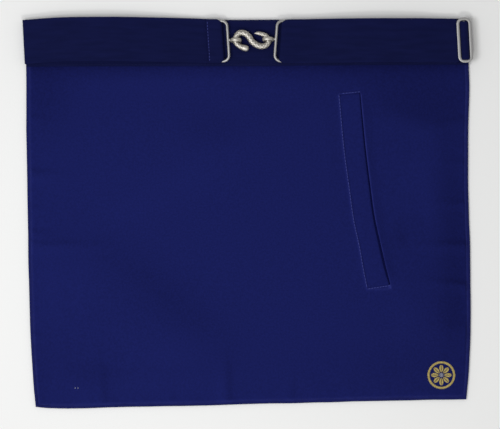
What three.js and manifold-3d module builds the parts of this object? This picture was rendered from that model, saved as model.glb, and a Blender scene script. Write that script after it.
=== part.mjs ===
// A lodge apron lying face down, so that its navy lining, its pocket and its folded belt look up.
// Millimetres, +Z up. X runs along the waist and +Y points from the hem to the waist.
// The origin lies on the surface under the middle of the apron.
import * as THREE from "three";
import Module from "manifold-3d";

const wasm = await Module();
wasm.setup();

// Driving sizes of the cloth body
const APRON_WIDTH = 406;
const APRON_HEIGHT = 350;
const FRONT_THICKNESS = 1.2;
const LINING_THICKNESS = 1.0;
const LAYER_GAP = 0.3;
const HEM_LINE = 4.5;
const HEM_GROOVE = 0.3;
const EDGE_ROLL = 1.0;
const PUFF_HEIGHT = 1.4;

// Driving sizes of the pocket
const POCKET_LENGTH = 176;
const POCKET_WIDTH = 18;
const POCKET_LEAN = 25.6;
const POCKET_INSET = 119.1;
const POCKET_DROP = 68.1;
const POCKET_MOUTH = 2.0;
const WELT_THICKNESS = 1.0;
const POCKET_FLAT = 30;

// Driving sizes of the webbing
const WEBBING_WIDTH = 40.7;
const WEBBING_THICKNESS = 1.1;
const WAISTBAND_WIDTH = 42;
const SELVEDGE = 0.4;
const ROOT_LENGTH = 26;
const TAIL_LENGTH = 10.6;
const LEFT_FOLD_OVERHANG = 1.4;
const LEFT_FOLD_OPENING = 1.6;
const LEFT_ARCH = 5.5;
const RIGHT_ARCH = 4.9;
const THREADED_WIDTH = 33;
const TAPER_LENGTH = 8;
const BELT_DROP = 18.8;
const BELT_BOW = 1.4;

// Driving sizes of the clasp
const WIRE_DIAMETER = 2.4;
const LOOP_HEIGHT = 41.5;
const LOOP_REACH = 8.65;
const LOOP_LIFT = 1.6;
const LOOP_OUTER_CORNER = 5.4;
const LOOP_INNER_CORNER = 2.6;
const CLASP_X = 3.6;
const CLASP_SPAN = 43.5;
const LEFT_LOOP_LEAN = 3.8;
const RIGHT_LOOP_LEAN = -4.3;
const EYE_WIRE = 2.2;
const EYE_LENGTH = 10.8;
const EYE_HEIGHT = 9.2;
const EYE_TILT = 12;
const EYE_SPAN = 29.2;
const LEFT_EYE_RISE = 0.2;
const RIGHT_EYE_RISE = 1;
const HOOK_LENGTH = 35;
const HOOK_SPREAD = 19;
const HOOK_BODY = 5.6;
const HOOK_FLATNESS = 0.72;

// Driving sizes of the slide
const SLIDE_WIDTH = 13.8;
const SLIDE_LENGTH = 40.8;
const SLIDE_THICKNESS = 2.0;
const SLIDE_SIDE = 2.6;
const SLIDE_END = 2.4;
const SLIDE_BAR = 2.0;
const SLIDE_CORNER = 3.4;
const SLIDE_LEAN = 3.2;
const SLIDE_INSET = 5.8;

// Driving sizes of the rosette
const ROSETTE_DIAMETER = 26;
const ROSETTE_RING = 2.4;
const ROSETTE_THICKNESS = 0.6;
const ROSETTE_PETALS = 8;
const ROSETTE_INSET = 26.7;
const ROSETTE_LIFT = 26.3;

// Heights of the stacked layers, each resting on the one below
const FRONT_TOP = FRONT_THICKNESS;
const LINING_TOP = FRONT_TOP + LAYER_GAP + LINING_THICKNESS;
const WAISTBAND_BOTTOM = LINING_TOP + LAYER_GAP;
const WAISTBAND_TOP = WAISTBAND_BOTTOM + WEBBING_THICKNESS;
const STRAP_REST = WAISTBAND_TOP + LAYER_GAP + WEBBING_THICKNESS / 2;
const LAYER_STEP = WEBBING_THICKNESS + LAYER_GAP;
const WIRE_FOLD = WIRE_DIAMETER / 2 + LAYER_GAP + WEBBING_THICKNESS / 2;
const LOOP_Z = STRAP_REST + WIRE_FOLD;
const EYE_Z = WAISTBAND_TOP + LAYER_GAP + EYE_HEIGHT / 2;

// Places of the pieces, measured from the edges of the apron
const BELT_Y = APRON_HEIGHT / 2 - BELT_DROP;
const LEFT_FOLD_X = -APRON_WIDTH / 2 - LEFT_FOLD_OVERHANG;
const LEFT_BAR_X = CLASP_X - CLASP_SPAN / 2;
const RIGHT_BAR_X = CLASP_X + CLASP_SPAN / 2;
const SLIDE_X = APRON_WIDTH / 2 - SLIDE_INSET;
const POCKET_X = APRON_WIDTH / 2 - POCKET_INSET;
const POCKET_TOP_Y = APRON_HEIGHT / 2 - POCKET_DROP;
const ROSETTE_X = APRON_WIDTH / 2 - ROSETTE_INSET;
const ROSETTE_Y = ROSETTE_LIFT - APRON_HEIGHT / 2;

// Side edges of the apron: how far down, and how far each edge lies inside the widest width
const SIDE_ROWS = [
  { down: 0, left: 0, right: 0.0045 },
  { down: 0.12, left: 0.0012, right: 0.0043 },
  { down: 0.18, left: 0.0017, right: 0.0028 },
  { down: 0.3, left: 0.0022, right: 0.0053 },
  { down: 0.45, left: 0.0045, right: 0.005 },
  { down: 0.6, left: 0.0065, right: 0.0013 },
  { down: 0.8, left: 0.0112, right: 0 },
  { down: 0.92, left: 0.0168, right: 0.0035 },
  { down: 1, left: 0.0232, right: 0.0095 },
];

// Top edge and hem of the apron: how far across, and how far each line dips, as shares of the height
const ENDS_ROWS = [
  { across: 0, top: 0.0016, hem: 0.0078 },
  { across: 0.03, top: 0.0014, hem: 0.0112 },
  { across: 0.1, top: 0.001, hem: 0.0114 },
  { across: 0.2, top: 0.0006, hem: 0.0082 },
  { across: 0.35, top: 0.0002, hem: 0.0055 },
  { across: 0.5, top: 0, hem: 0 },
  { across: 0.62, top: -0.001, hem: -0.0021 },
  { across: 0.8, top: -0.0024, hem: -0.0078 },
  { across: 1, top: -0.0036, hem: -0.0117 },
];

// Soft rises and dips of the lining, as shares of the apron's width and height from its middle
const PUFF_ROWS = [
  { x: -0.33, y: -0.27, radius: 0.2, rise: 1 },
  { x: -0.02, y: 0.1, radius: 0.24, rise: 0.8 },
  { x: -0.3, y: 0.2, radius: 0.17, rise: 0.6 },
  { x: 0.39, y: 0.0, radius: 0.09, rise: 0.9 },
  { x: 0.14, y: -0.3, radius: 0.16, rise: 0.7 },
  { x: -0.14, y: -0.22, radius: 0.09, rise: -0.5 },
];

// Left edge and width of the pocket window, as shares of its lean and of its width
const POCKET_ROWS = [
  { down: 0, lean: 0, width: 1 },
  { down: 0.287, lean: 0.18, width: 1 },
  { down: 0.474, lean: 0.355, width: 1.01 },
  { down: 0.649, lean: 0.523, width: 1.04 },
  { down: 0.787, lean: 0.727, width: 1.06 },
  { down: 1, lean: 1, width: 1.13 },
];
const POCKET_END_TILT = [5.5, 8.6];

// Left strap from its fold to the loop: height as a share of its arch, sideways bow and lean of its weft
const LEFT_STRAP_ROWS = [
  { along: 0, rise: 0.49, bow: -0.7, lean: 3 },
  { along: 0.08, rise: 0.62, bow: 0.1, lean: 2.4 },
  { along: 0.17, rise: 0.86, bow: 0.7, lean: 1 },
  { along: 0.3, rise: 1, bow: 1, lean: 0 },
  { along: 0.45, rise: 0.98, bow: 1, lean: 0 },
  { along: 0.6, rise: 0.74, bow: 0.8, lean: 0 },
  { along: 0.75, rise: 0.38, bow: 0.5, lean: 0.6 },
  { along: 0.87, rise: 0.08, bow: 0.1, lean: 2.2 },
  { along: 0.94, rise: 0, bow: -0.2, lean: 3.8 },
  { along: 1, rise: 0, bow: -0.4, lean: 3.8 },
];

// Right strap from the loop to the slide, with the gap between its two layers as a share of the fold
const RIGHT_STRAP_ROWS = [
  { along: 0, rise: 0, part: 1, bow: -0.5, lean: -4.3 },
  { along: 0.05, rise: 0, part: 0.7, bow: -0.4, lean: -4.3 },
  { along: 0.12, rise: 0.1, part: 0.25, bow: -0.2, lean: -2.4 },
  { along: 0.2, rise: 0.32, part: 0.05, bow: 0, lean: -0.6 },
  { along: 0.35, rise: 0.72, part: 0, bow: 0.3, lean: 0 },
  { along: 0.5, rise: 0.97, part: 0, bow: 0.5, lean: 0 },
  { along: 0.65, rise: 1, part: 0, bow: 0.5, lean: 0.2 },
  { along: 0.8, rise: 0.76, part: 0, bow: 0.5, lean: 1.2 },
  { along: 0.93, rise: 0.38, part: 0, bow: 0.3, lean: 2.8 },
  { along: 1, rise: 0.29, part: 0, bow: 0.1, lean: 3.2 },
];

// The snake from its head to its tail: place as shares of its length and spread, girth as a share of its body
const SNAKE_ROWS = [
  { along: -0.075, across: -0.395, girth: 0.45 },
  { along: -0.11, across: -0.385, girth: 0.78 },
  { along: -0.186, across: -0.358, girth: 0.9 },
  { along: -0.277, across: -0.305, girth: 0.84 },
  { along: -0.371, across: -0.2, girth: 0.82 },
  { along: -0.423, across: -0.058, girth: 0.84 },
  { along: -0.423, across: 0.111, girth: 0.86 },
  { along: -0.389, across: 0.263, girth: 0.89 },
  { along: -0.326, across: 0.358, girth: 0.91 },
  { along: -0.243, across: 0.368, girth: 0.94 },
  { along: -0.151, across: 0.305, girth: 0.98 },
  { along: -0.069, across: 0.158, girth: 1 },
  { along: 0, across: -0.037, girth: 1 },
  { along: 0.083, across: -0.163, girth: 1 },
  { along: 0.174, across: -0.253, girth: 1 },
  { along: 0.28, across: -0.274, girth: 0.97 },
  { along: 0.371, across: -0.211, girth: 0.92 },
  { along: 0.423, across: -0.079, girth: 0.86 },
  { along: 0.414, across: 0.089, girth: 0.82 },
  { along: 0.349, across: 0.242, girth: 0.76 },
  { along: 0.243, across: 0.316, girth: 0.66 },
  { along: 0.151, across: 0.347, girth: 0.54 },
  { along: 0.06, across: 0.347, girth: 0.24 },
];

const liningCloth = new THREE.MeshStandardMaterial({ color: 0x181d56, roughness: 0.9, metalness: 0 });
const frontCloth = new THREE.MeshStandardMaterial({ color: 0x151a4c, roughness: 0.9, metalness: 0 });
const webbing = new THREE.MeshStandardMaterial({ color: 0x11163b, roughness: 0.85, metalness: 0 });
const nickel = new THREE.MeshStandardMaterial({ color: 0xb9b6ae, roughness: 0.3, metalness: 1 });
const goldThread = new THREE.MeshStandardMaterial({ color: 0xb7a45c, roughness: 0.6, metalness: 0 });

const radians = THREE.MathUtils.degToRad;
const lerp = THREE.MathUtils.lerp;
const smoothstep = THREE.MathUtils.smoothstep;

// Reads a column of a table at a place between its rows, along a smooth curve through them
function readRow(rows, key, at, column) {
  const last = rows.length - 1;
  let i = 0;
  while (i < last - 1 && rows[i + 1][key] < at) i += 1;
  const [a, b] = [rows[i], rows[i + 1]];
  const span = b[key] - a[key];
  const slope = (from, to) => (to[column] - from[column]) / (to[key] - from[key] || 1);
  const before = i > 0 ? slope(rows[i - 1], b) : slope(a, b);
  const after = i + 2 <= last ? slope(a, rows[i + 2]) : slope(a, b);
  const t = THREE.MathUtils.clamp((at - a[key]) / span, 0, 1);
  const t2 = t * t;
  const t3 = t2 * t;
  return (
    (2 * t3 - 3 * t2 + 1) * a[column] +
    (t3 - 2 * t2 + t) * span * before +
    (3 * t2 - 2 * t3) * b[column] +
    (t3 - t2) * span * after
  );
}

// Six times the volume that a closed triangle list encloses, positive when its faces point out
function signedVolume(vertices, triangles) {
  let sum = 0;
  for (const [a, b, c] of triangles) {
    sum += vertices[a].dot(new THREE.Vector3().crossVectors(vertices[b], vertices[c]));
  }
  return sum;
}

function closedGeometry(vertices, triangles) {
  const outward = signedVolume(vertices, triangles) > 0;
  const geometry = new THREE.BufferGeometry().setFromPoints(vertices);
  geometry.setIndex(triangles.flatMap(([a, b, c]) => (outward ? [a, b, c] : [a, c, b])));
  geometry.computeVertexNormals();
  return geometry;
}

// Sweeps a section along stations; each station has a centre, two directions and its own section
function sweep(stations, closed = false) {
  const sides = stations[0].section.length;
  const vertices = [];
  const triangles = [];
  for (const { centre, across, normal, section } of stations) {
    for (const [a, b] of section) {
      vertices.push(centre.clone().addScaledVector(across, a).addScaledVector(normal, b));
    }
  }
  const count = stations.length;
  for (let i = 0; i < (closed ? count : count - 1); i += 1) {
    const here = i * sides;
    const next = ((i + 1) % count) * sides;
    for (let k = 0; k < sides; k += 1) {
      const l = (k + 1) % sides;
      triangles.push([here + k, here + l, next + l], [here + k, next + l, next + k]);
    }
  }
  if (!closed) {
    const end = (count - 1) * sides;
    for (let k = 1; k < sides - 1; k += 1) {
      triangles.push([0, k + 1, k], [end, end + k, end + k + 1]);
    }
  }
  return closedGeometry(vertices, triangles);
}

function ellipseSection(width, height, sides) {
  return Array.from({ length: sides }, (_, k) => {
    const turn = ((k + 0.5) / sides) * 2 * Math.PI;
    return [(width / 2) * Math.cos(turn), (height / 2) * Math.sin(turn)];
  });
}

// A wire along points; facing is the direction that its section's height keeps to
function wire(points, widths, flatness, facing, sides, closed = false) {
  const count = points.length;
  const stations = points.map((centre, i) => {
    const before = closed ? points[(i + count - 1) % count] : points[Math.max(i - 1, 0)];
    const after = closed ? points[(i + 1) % count] : points[Math.min(i + 1, count - 1)];
    const tangent = after.clone().sub(before).normalize();
    const across = new THREE.Vector3().crossVectors(tangent, facing).normalize();
    const normal = new THREE.Vector3().crossVectors(across, tangent);
    return { centre, across, normal, section: ellipseSection(widths[i], widths[i] * flatness, sides) };
  });
  return sweep(stations, closed);
}

// Solids for joining and cutting, from a closed geometry and back
function toSolid(geometry) {
  const places = new Map();
  const vertices = [];
  const { position } = geometry.attributes;
  const order = geometry.index ? Array.from(geometry.index.array) : Array.from({ length: position.count }, (_, i) => i);
  const triangles = order.map((i) => {
    const point = [position.getX(i), position.getY(i), position.getZ(i)];
    const key = point.map((value) => value.toFixed(5)).join();
    if (!places.has(key)) {
      places.set(key, places.size);
      vertices.push(...point);
    }
    return places.get(key);
  });
  return new wasm.Manifold(
    new wasm.Mesh({
      numProp: 3,
      vertProperties: new Float32Array(vertices),
      triVerts: new Uint32Array(triangles),
    }),
  );
}

function toGeometry(solid) {
  const { numProp, vertProperties, triVerts } = solid.getMesh();
  const position = new Float32Array((vertProperties.length / numProp) * 3);
  for (let i = 0; i < position.length / 3; i += 1) {
    position.set(vertProperties.subarray(i * numProp, i * numProp + 3), i * 3);
  }
  const geometry = new THREE.BufferGeometry();
  geometry.setAttribute("position", new THREE.BufferAttribute(position, 3));
  geometry.setIndex(new THREE.BufferAttribute(new Uint32Array(triVerts), 1));
  geometry.computeVertexNormals();
  return geometry;
}

const joined = (geometries) => toGeometry(geometries.map(toSolid).reduce((whole, next) => whole.add(next)));

// The apron's outline as a place across (0 left, 1 right) and down (0 waist, 1 hem)
function apronPoint(across, down) {
  const left = (readRow(SIDE_ROWS, "down", down, "left") - 0.5) * APRON_WIDTH;
  const right = (0.5 - readRow(SIDE_ROWS, "down", down, "right")) * APRON_WIDTH;
  const top = (0.5 - readRow(ENDS_ROWS, "across", across, "top")) * APRON_HEIGHT;
  const hem = (-0.5 - readRow(ENDS_ROWS, "across", across, "hem")) * APRON_HEIGHT;
  return new THREE.Vector2(lerp(left, right, across), lerp(top, hem, down));
}

const waistTopY = (x) => apronPoint(x / APRON_WIDTH + 0.5, 0).y;

// A place in the pocket window: down its length and across its width
function pocketPoint(down, across) {
  const width = POCKET_WIDTH * readRow(POCKET_ROWS, "down", down, "width");
  const left = POCKET_X + POCKET_LEAN * readRow(POCKET_ROWS, "down", down, "lean");
  const tilt = radians(lerp(...POCKET_END_TILT, down));
  return new THREE.Vector2(
    left + across * width,
    POCKET_TOP_Y - down * POCKET_LENGTH + across * width * Math.tan(tilt),
  );
}

// How far a place lies outside the pocket window
function pocketDistance(x, y) {
  const down = (POCKET_TOP_Y - y) / POCKET_LENGTH;
  const inside = THREE.MathUtils.clamp(down, 0, 1);
  const left = pocketPoint(inside, 0).x;
  const right = pocketPoint(inside, 1).x;
  const sideways = Math.max(left - x, x - right, 0);
  return Math.hypot(sideways, (down - inside) * POCKET_LENGTH);
}

// How far the lining stands above its sewn level
function liningRise(x, y) {
  const edge = Math.min(
    APRON_WIDTH / 2 - Math.abs(x),
    APRON_HEIGHT / 2 + y,
    APRON_HEIGHT / 2 - WAISTBAND_WIDTH - y,
  );
  const free = smoothstep(edge, 2 * HEM_LINE, 9 * HEM_LINE);
  const clearOfRosette = smoothstep(
    Math.hypot(x - ROSETTE_X, y - ROSETTE_Y),
    0.62 * ROSETTE_DIAMETER,
    1.8 * ROSETTE_DIAMETER,
  );
  let puff = 0;
  for (const row of PUFF_ROWS) {
    const away = Math.hypot(x - row.x * APRON_WIDTH, y - row.y * APRON_HEIGHT) / (row.radius * APRON_WIDTH);
    puff += row.rise * Math.exp(-away * away);
  }
  const clearOfPocket = smoothstep(pocketDistance(x, y), 0, POCKET_FLAT);
  return Math.max(puff, 0) * PUFF_HEIGHT * free * clearOfRosette * clearOfPocket;
}

// Shares of a length at which the lining is cut into cells, close together at the hem
function cellLines(length, cells) {
  const near = [0, EDGE_ROLL, HEM_LINE, 2 * HEM_LINE].map((d) => d / length);
  const inner = Array.from({ length: cells - 1 }, (_, i) => lerp(near[3], 1 - near[3], (i + 1) / cells));
  return [...near, ...inner, ...near.map((share) => 1 - share).reverse()];
}

function buildFrontPanel() {
  const bevel = EDGE_ROLL / 2;
  const steps = 18;
  const walk = [
    ...Array.from({ length: steps }, (_, i) => apronPoint(i / steps, 0)),
    ...Array.from({ length: steps }, (_, i) => apronPoint(1, i / steps)),
    ...Array.from({ length: steps }, (_, i) => apronPoint(1 - i / steps, 1)),
    ...Array.from({ length: steps }, (_, i) => apronPoint(0, 1 - i / steps)),
  ];
  const geometry = new THREE.ExtrudeGeometry(new THREE.Shape(walk), {
    depth: FRONT_THICKNESS - 2 * bevel,
    bevelThickness: bevel,
    bevelSize: bevel,
    bevelOffset: -bevel,
    bevelSegments: 1,
  });
  return geometry.translate(0, 0, bevel);
}

function buildLiningPanel() {
  const acrossLines = cellLines(APRON_WIDTH, 20);
  const downLines = cellLines(APRON_HEIGHT, 18);
  const columns = acrossLines.length;
  const rows = downLines.length;
  const vertices = [];
  const triangles = [];
  const bottom = FRONT_TOP + LAYER_GAP;
  for (const side of [0, 1]) {
    downLines.forEach((down) => {
      acrossLines.forEach((across) => {
        const { x, y } = apronPoint(across, down);
        const inward = Math.min(across, 1 - across) * APRON_WIDTH;
        const upward = Math.min(down, 1 - down) * APRON_HEIGHT;
        const edge = Math.min(inward, upward);
        const roll = edge < EDGE_ROLL / 2 ? LINING_THICKNESS / 2 : 0;
        const groove = Math.abs(edge - HEM_LINE) < EDGE_ROLL ? HEM_GROOVE : 0;
        const sewn = bottom + side * (LINING_THICKNESS - roll - groove);
        vertices.push(new THREE.Vector3(x, y, sewn + liningRise(x, y)));
      });
    });
  }
  const at = (side, row, column) => (side * rows + row) * columns + column;
  for (let row = 0; row < rows - 1; row += 1) {
    for (let column = 0; column < columns - 1; column += 1) {
      for (const side of [0, 1]) {
        const [a, b] = [at(side, row, column), at(side, row, column + 1)];
        const [c, d] = [at(side, row + 1, column + 1), at(side, row + 1, column)];
        if (side) triangles.push([a, c, b], [a, d, c]);
        else triangles.push([a, b, c], [a, c, d]);
      }
    }
  }
  const rim = [];
  for (let column = 0; column < columns - 1; column += 1) rim.push([0, column]);
  for (let row = 0; row < rows - 1; row += 1) rim.push([row, columns - 1]);
  for (let column = columns - 1; column > 0; column -= 1) rim.push([rows - 1, column]);
  for (let row = rows - 1; row > 0; row -= 1) rim.push([row, 0]);
  rim.forEach(([row, column], i) => {
    const [nextRow, nextColumn] = rim[(i + 1) % rim.length];
    const [low, lowNext] = [at(0, row, column), at(0, nextRow, nextColumn)];
    const [high, highNext] = [at(1, row, column), at(1, nextRow, nextColumn)];
    triangles.push([low, highNext, lowNext], [low, high, highNext]);
  });
  const sheet = toSolid(closedGeometry(vertices, triangles));
  const window = toSolid(stripPrism(0, 1, 0, 1, 0, LINING_TOP + 2 * PUFF_HEIGHT));
  return toGeometry(sheet.subtract(window));
}

// A prism that follows the pocket window between shares of its length and width, from one height to another
function stripPrism(downFrom, downTo, acrossFrom, acrossTo, low, high) {
  const steps = 14;
  const stations = Array.from({ length: steps + 1 }, (_, i) => {
    const down = lerp(downFrom, downTo, i / steps);
    const left = pocketPoint(down, acrossFrom);
    const right = pocketPoint(down, acrossTo);
    const half = left.distanceTo(right) / 2;
    const across = new THREE.Vector3(right.x - left.x, right.y - left.y, 0).normalize();
    const centre = new THREE.Vector3((left.x + right.x) / 2, (left.y + right.y) / 2, (low + high) / 2);
    const rise = (high - low) / 2;
    const section = [[-half, -rise], [half, -rise], [half, rise], [-half, rise]];
    return { centre, across, normal: new THREE.Vector3(0, 0, 1), section };
  });
  return sweep(stations);
}

function buildPocketWelt() {
  const endGap = LAYER_GAP / POCKET_LENGTH;
  const sideGap = LAYER_GAP / POCKET_WIDTH;
  const mouth = POCKET_MOUTH / POCKET_WIDTH;
  const low = FRONT_TOP + LAYER_GAP;
  return stripPrism(endGap, 1 - endGap, sideGap, 1 - mouth, low, low + WELT_THICKNESS);
}

// A flat strip of webbing whose middle line runs in the XZ plane through points
function strap(points, widthAt, middleAt, leanAt) {
  const half = WEBBING_THICKNESS / 2;
  const stations = points.map((point, i) => {
    const before = points[Math.max(i - 1, 0)];
    const after = points[Math.min(i + 1, points.length - 1)];
    const tangent = after.clone().sub(before).normalize();
    const lean = radians(leanAt(point.x));
    const width = widthAt(point, i) / 2;
    return {
      centre: new THREE.Vector3(point.x, middleAt(point.x), point.y),
      across: new THREE.Vector3(-Math.sin(lean), Math.cos(lean), 0),
      normal: new THREE.Vector3(-tangent.y, 0, tangent.x),
      section: [
        [-width, 0],
        [-width + SELVEDGE, -half],
        [width - SELVEDGE, -half],
        [width, 0],
        [width - SELVEDGE, half],
        [-width + SELVEDGE, half],
      ],
    };
  });
  return sweep(stations);
}

function buildWaistband() {
  const steps = 24;
  const half = APRON_WIDTH / 2 - EDGE_ROLL;
  const z = WAISTBAND_BOTTOM + WEBBING_THICKNESS / 2;
  const points = Array.from({ length: steps + 1 }, (_, i) => {
    const { x } = apronPoint(lerp(0, 1, i / steps), 0);
    return new THREE.Vector2(THREE.MathUtils.clamp(x, -half, half), z);
  });
  const width = () => WAISTBAND_WIDTH;
  return strap(points, width, (x) => waistTopY(x) - WAISTBAND_WIDTH / 2, () => 0);
}

// The webbing draws in to pass through a loop or a slide at x
const drawnIn = (x, at, full, narrow, length) => lerp(narrow, full, Math.sqrt(smoothstep(Math.abs(x - at), 0, length)));

const LEFT_WRAP_X = LEFT_BAR_X - LOOP_REACH;
const RIGHT_WRAP_X = RIGHT_BAR_X + LOOP_REACH;
const beltMiddle = (rows, share) => BELT_Y + BELT_BOW * readRow(rows, "along", share, "bow");

function buildLeftStrap() {
  const turn = (LEFT_FOLD_OPENING + WEBBING_THICKNESS) / 2;
  const foldX = LEFT_FOLD_X + WEBBING_THICKNESS / 2 + turn;
  const share = (x) => (x - foldX) / (LEFT_WRAP_X - foldX);
  const rest = (x) => STRAP_REST + LEFT_ARCH * readRow(LEFT_STRAP_ROWS, "along", share(x), "rise");
  const path = new THREE.Path();
  path.moveTo(foldX + ROOT_LENGTH, STRAP_REST);
  path.lineTo(foldX, STRAP_REST);
  path.absarc(foldX, STRAP_REST + turn, turn, -Math.PI / 2, Math.PI / 2, true);
  const steps = 26;
  for (let i = 1; i <= steps; i += 1) {
    const x = lerp(foldX, LEFT_WRAP_X, i / steps);
    path.lineTo(x, rest(x));
  }
  path.absarc(LEFT_WRAP_X, LOOP_Z, WIRE_FOLD, -Math.PI / 2, Math.PI / 2, false);
  const tailSteps = 5;
  for (let i = 1; i <= tailSteps; i += 1) {
    const x = LEFT_WRAP_X - (TAIL_LENGTH * i) / tailSteps;
    const fall = smoothstep(i / tailSteps, 0, 1);
    path.lineTo(x, lerp(LOOP_Z + WIRE_FOLD, rest(x) + LAYER_STEP, fall));
  }
  const width = ({ x }) => drawnIn(x, LEFT_WRAP_X + WIRE_FOLD, WEBBING_WIDTH, THREADED_WIDTH, TAPER_LENGTH);
  const middle = (x) => beltMiddle(LEFT_STRAP_ROWS, share(x));
  const lean = (x) => readRow(LEFT_STRAP_ROWS, "along", share(x), "lean");
  return strap(path.getPoints(5), width, middle, lean);
}

// Height of the slide's middle plane: the waistband, then three layers of webbing lie below its sides
const SLIDE_Z = STRAP_REST + 2 * LAYER_STEP + WEBBING_THICKNESS / 2 + LAYER_GAP + SLIDE_THICKNESS / 2;

function buildRightStrap() {
  const under = SLIDE_THICKNESS / 2 + LAYER_GAP + WEBBING_THICKNESS / 2;
  const wrap = SLIDE_BAR / 2 + LAYER_GAP + WEBBING_THICKNESS / 2;
  const over = wrap + LAYER_STEP;
  const inner = SLIDE_WIDTH / 2 - SLIDE_SIDE;
  const clear = LAYER_GAP + WEBBING_THICKNESS / 2;
  const reachX = SLIDE_X - SLIDE_WIDTH / 2 - LAYER_STEP;
  const share = (x) => (x - RIGHT_WRAP_X) / (reachX - RIGHT_WRAP_X);
  const read = (x, column) => readRow(RIGHT_STRAP_ROWS, "along", THREE.MathUtils.clamp(share(x), 0, 1), column);
  const lowerEnd = SLIDE_Z - under - LAYER_STEP;
  const lower = (x) => STRAP_REST + lerp(RIGHT_ARCH * read(x, "rise"), lowerEnd - STRAP_REST, smoothstep(share(x), 0.8, 1));
  const upper = (x) => lower(x) + lerp(LAYER_STEP, 2 * WIRE_FOLD, read(x, "part"));
  const steps = 24;
  const path = new THREE.Path();

  // Sewn end round the slide's middle bar, then back to the clasp as the lower layer
  path.absarc(SLIDE_X, SLIDE_Z, wrap, radians(130), -Math.PI / 2, true);
  path.lineTo(SLIDE_X - 0.3 * inner, SLIDE_Z - lerp(wrap, under + LAYER_STEP, 0.15));
  path.lineTo(SLIDE_X - 0.55 * inner, SLIDE_Z - lerp(wrap, under + LAYER_STEP, 0.55));
  path.lineTo(SLIDE_X - 0.8 * inner, SLIDE_Z - lerp(wrap, under + LAYER_STEP, 0.9));
  path.lineTo(SLIDE_X - inner, lowerEnd);
  for (let i = 0; i <= steps; i += 1) {
    const x = lerp(reachX, RIGHT_WRAP_X, i / steps);
    path.lineTo(x, lower(x));
  }
  path.absarc(RIGHT_WRAP_X, LOOP_Z, WIRE_FOLD, -Math.PI / 2, Math.PI / 2, true);

  // Upper layer to the slide: under its left side, over its middle bar, down inside its right side
  for (let i = 1; i <= steps; i += 1) {
    const x = lerp(RIGHT_WRAP_X, reachX, i / steps);
    path.lineTo(x, upper(x));
  }
  path.lineTo(SLIDE_X - inner, SLIDE_Z - under);
  path.absarc(SLIDE_X - inner, SLIDE_Z - SLIDE_THICKNESS / 2, clear, -Math.PI / 2, 0, false);
  path.absarc(SLIDE_X, SLIDE_Z, over, Math.PI, 0, true);

  // Fold at the apron's edge, then the root that is sewn to the waistband
  const drop = SLIDE_Z - STRAP_REST;
  const bulge = 0.3 * drop;
  path.bezierCurveTo(
    SLIDE_X + over,
    SLIDE_Z - 0.35 * drop,
    SLIDE_X + over + 1.2 * bulge,
    SLIDE_Z - 0.45 * drop,
    SLIDE_X + over + 0.8 * bulge,
    SLIDE_Z - 0.7 * drop,
  );
  path.bezierCurveTo(
    SLIDE_X + over + 0.6 * bulge,
    SLIDE_Z - 0.9 * drop,
    SLIDE_X + over,
    STRAP_REST,
    SLIDE_X + over - bulge,
    STRAP_REST,
  );
  path.lineTo(SLIDE_X + over - ROOT_LENGTH, STRAP_REST);

  const slideWidth = SLIDE_LENGTH - 2 * SLIDE_END - 2 * LAYER_GAP;
  const width = ({ x }) =>
    Math.min(
      drawnIn(x, RIGHT_WRAP_X - WIRE_FOLD, WEBBING_WIDTH, THREADED_WIDTH, TAPER_LENGTH),
      lerp(slideWidth, WEBBING_WIDTH, smoothstep(SLIDE_X - x, inner, inner + SLIDE_SIDE + LAYER_STEP)),
    );
  const middle = (x) => beltMiddle(RIGHT_STRAP_ROWS, THREE.MathUtils.clamp(share(x), 0, 1));
  return strap(path.getPoints(5), width, middle, (x) => read(x, "lean"));
}

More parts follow.
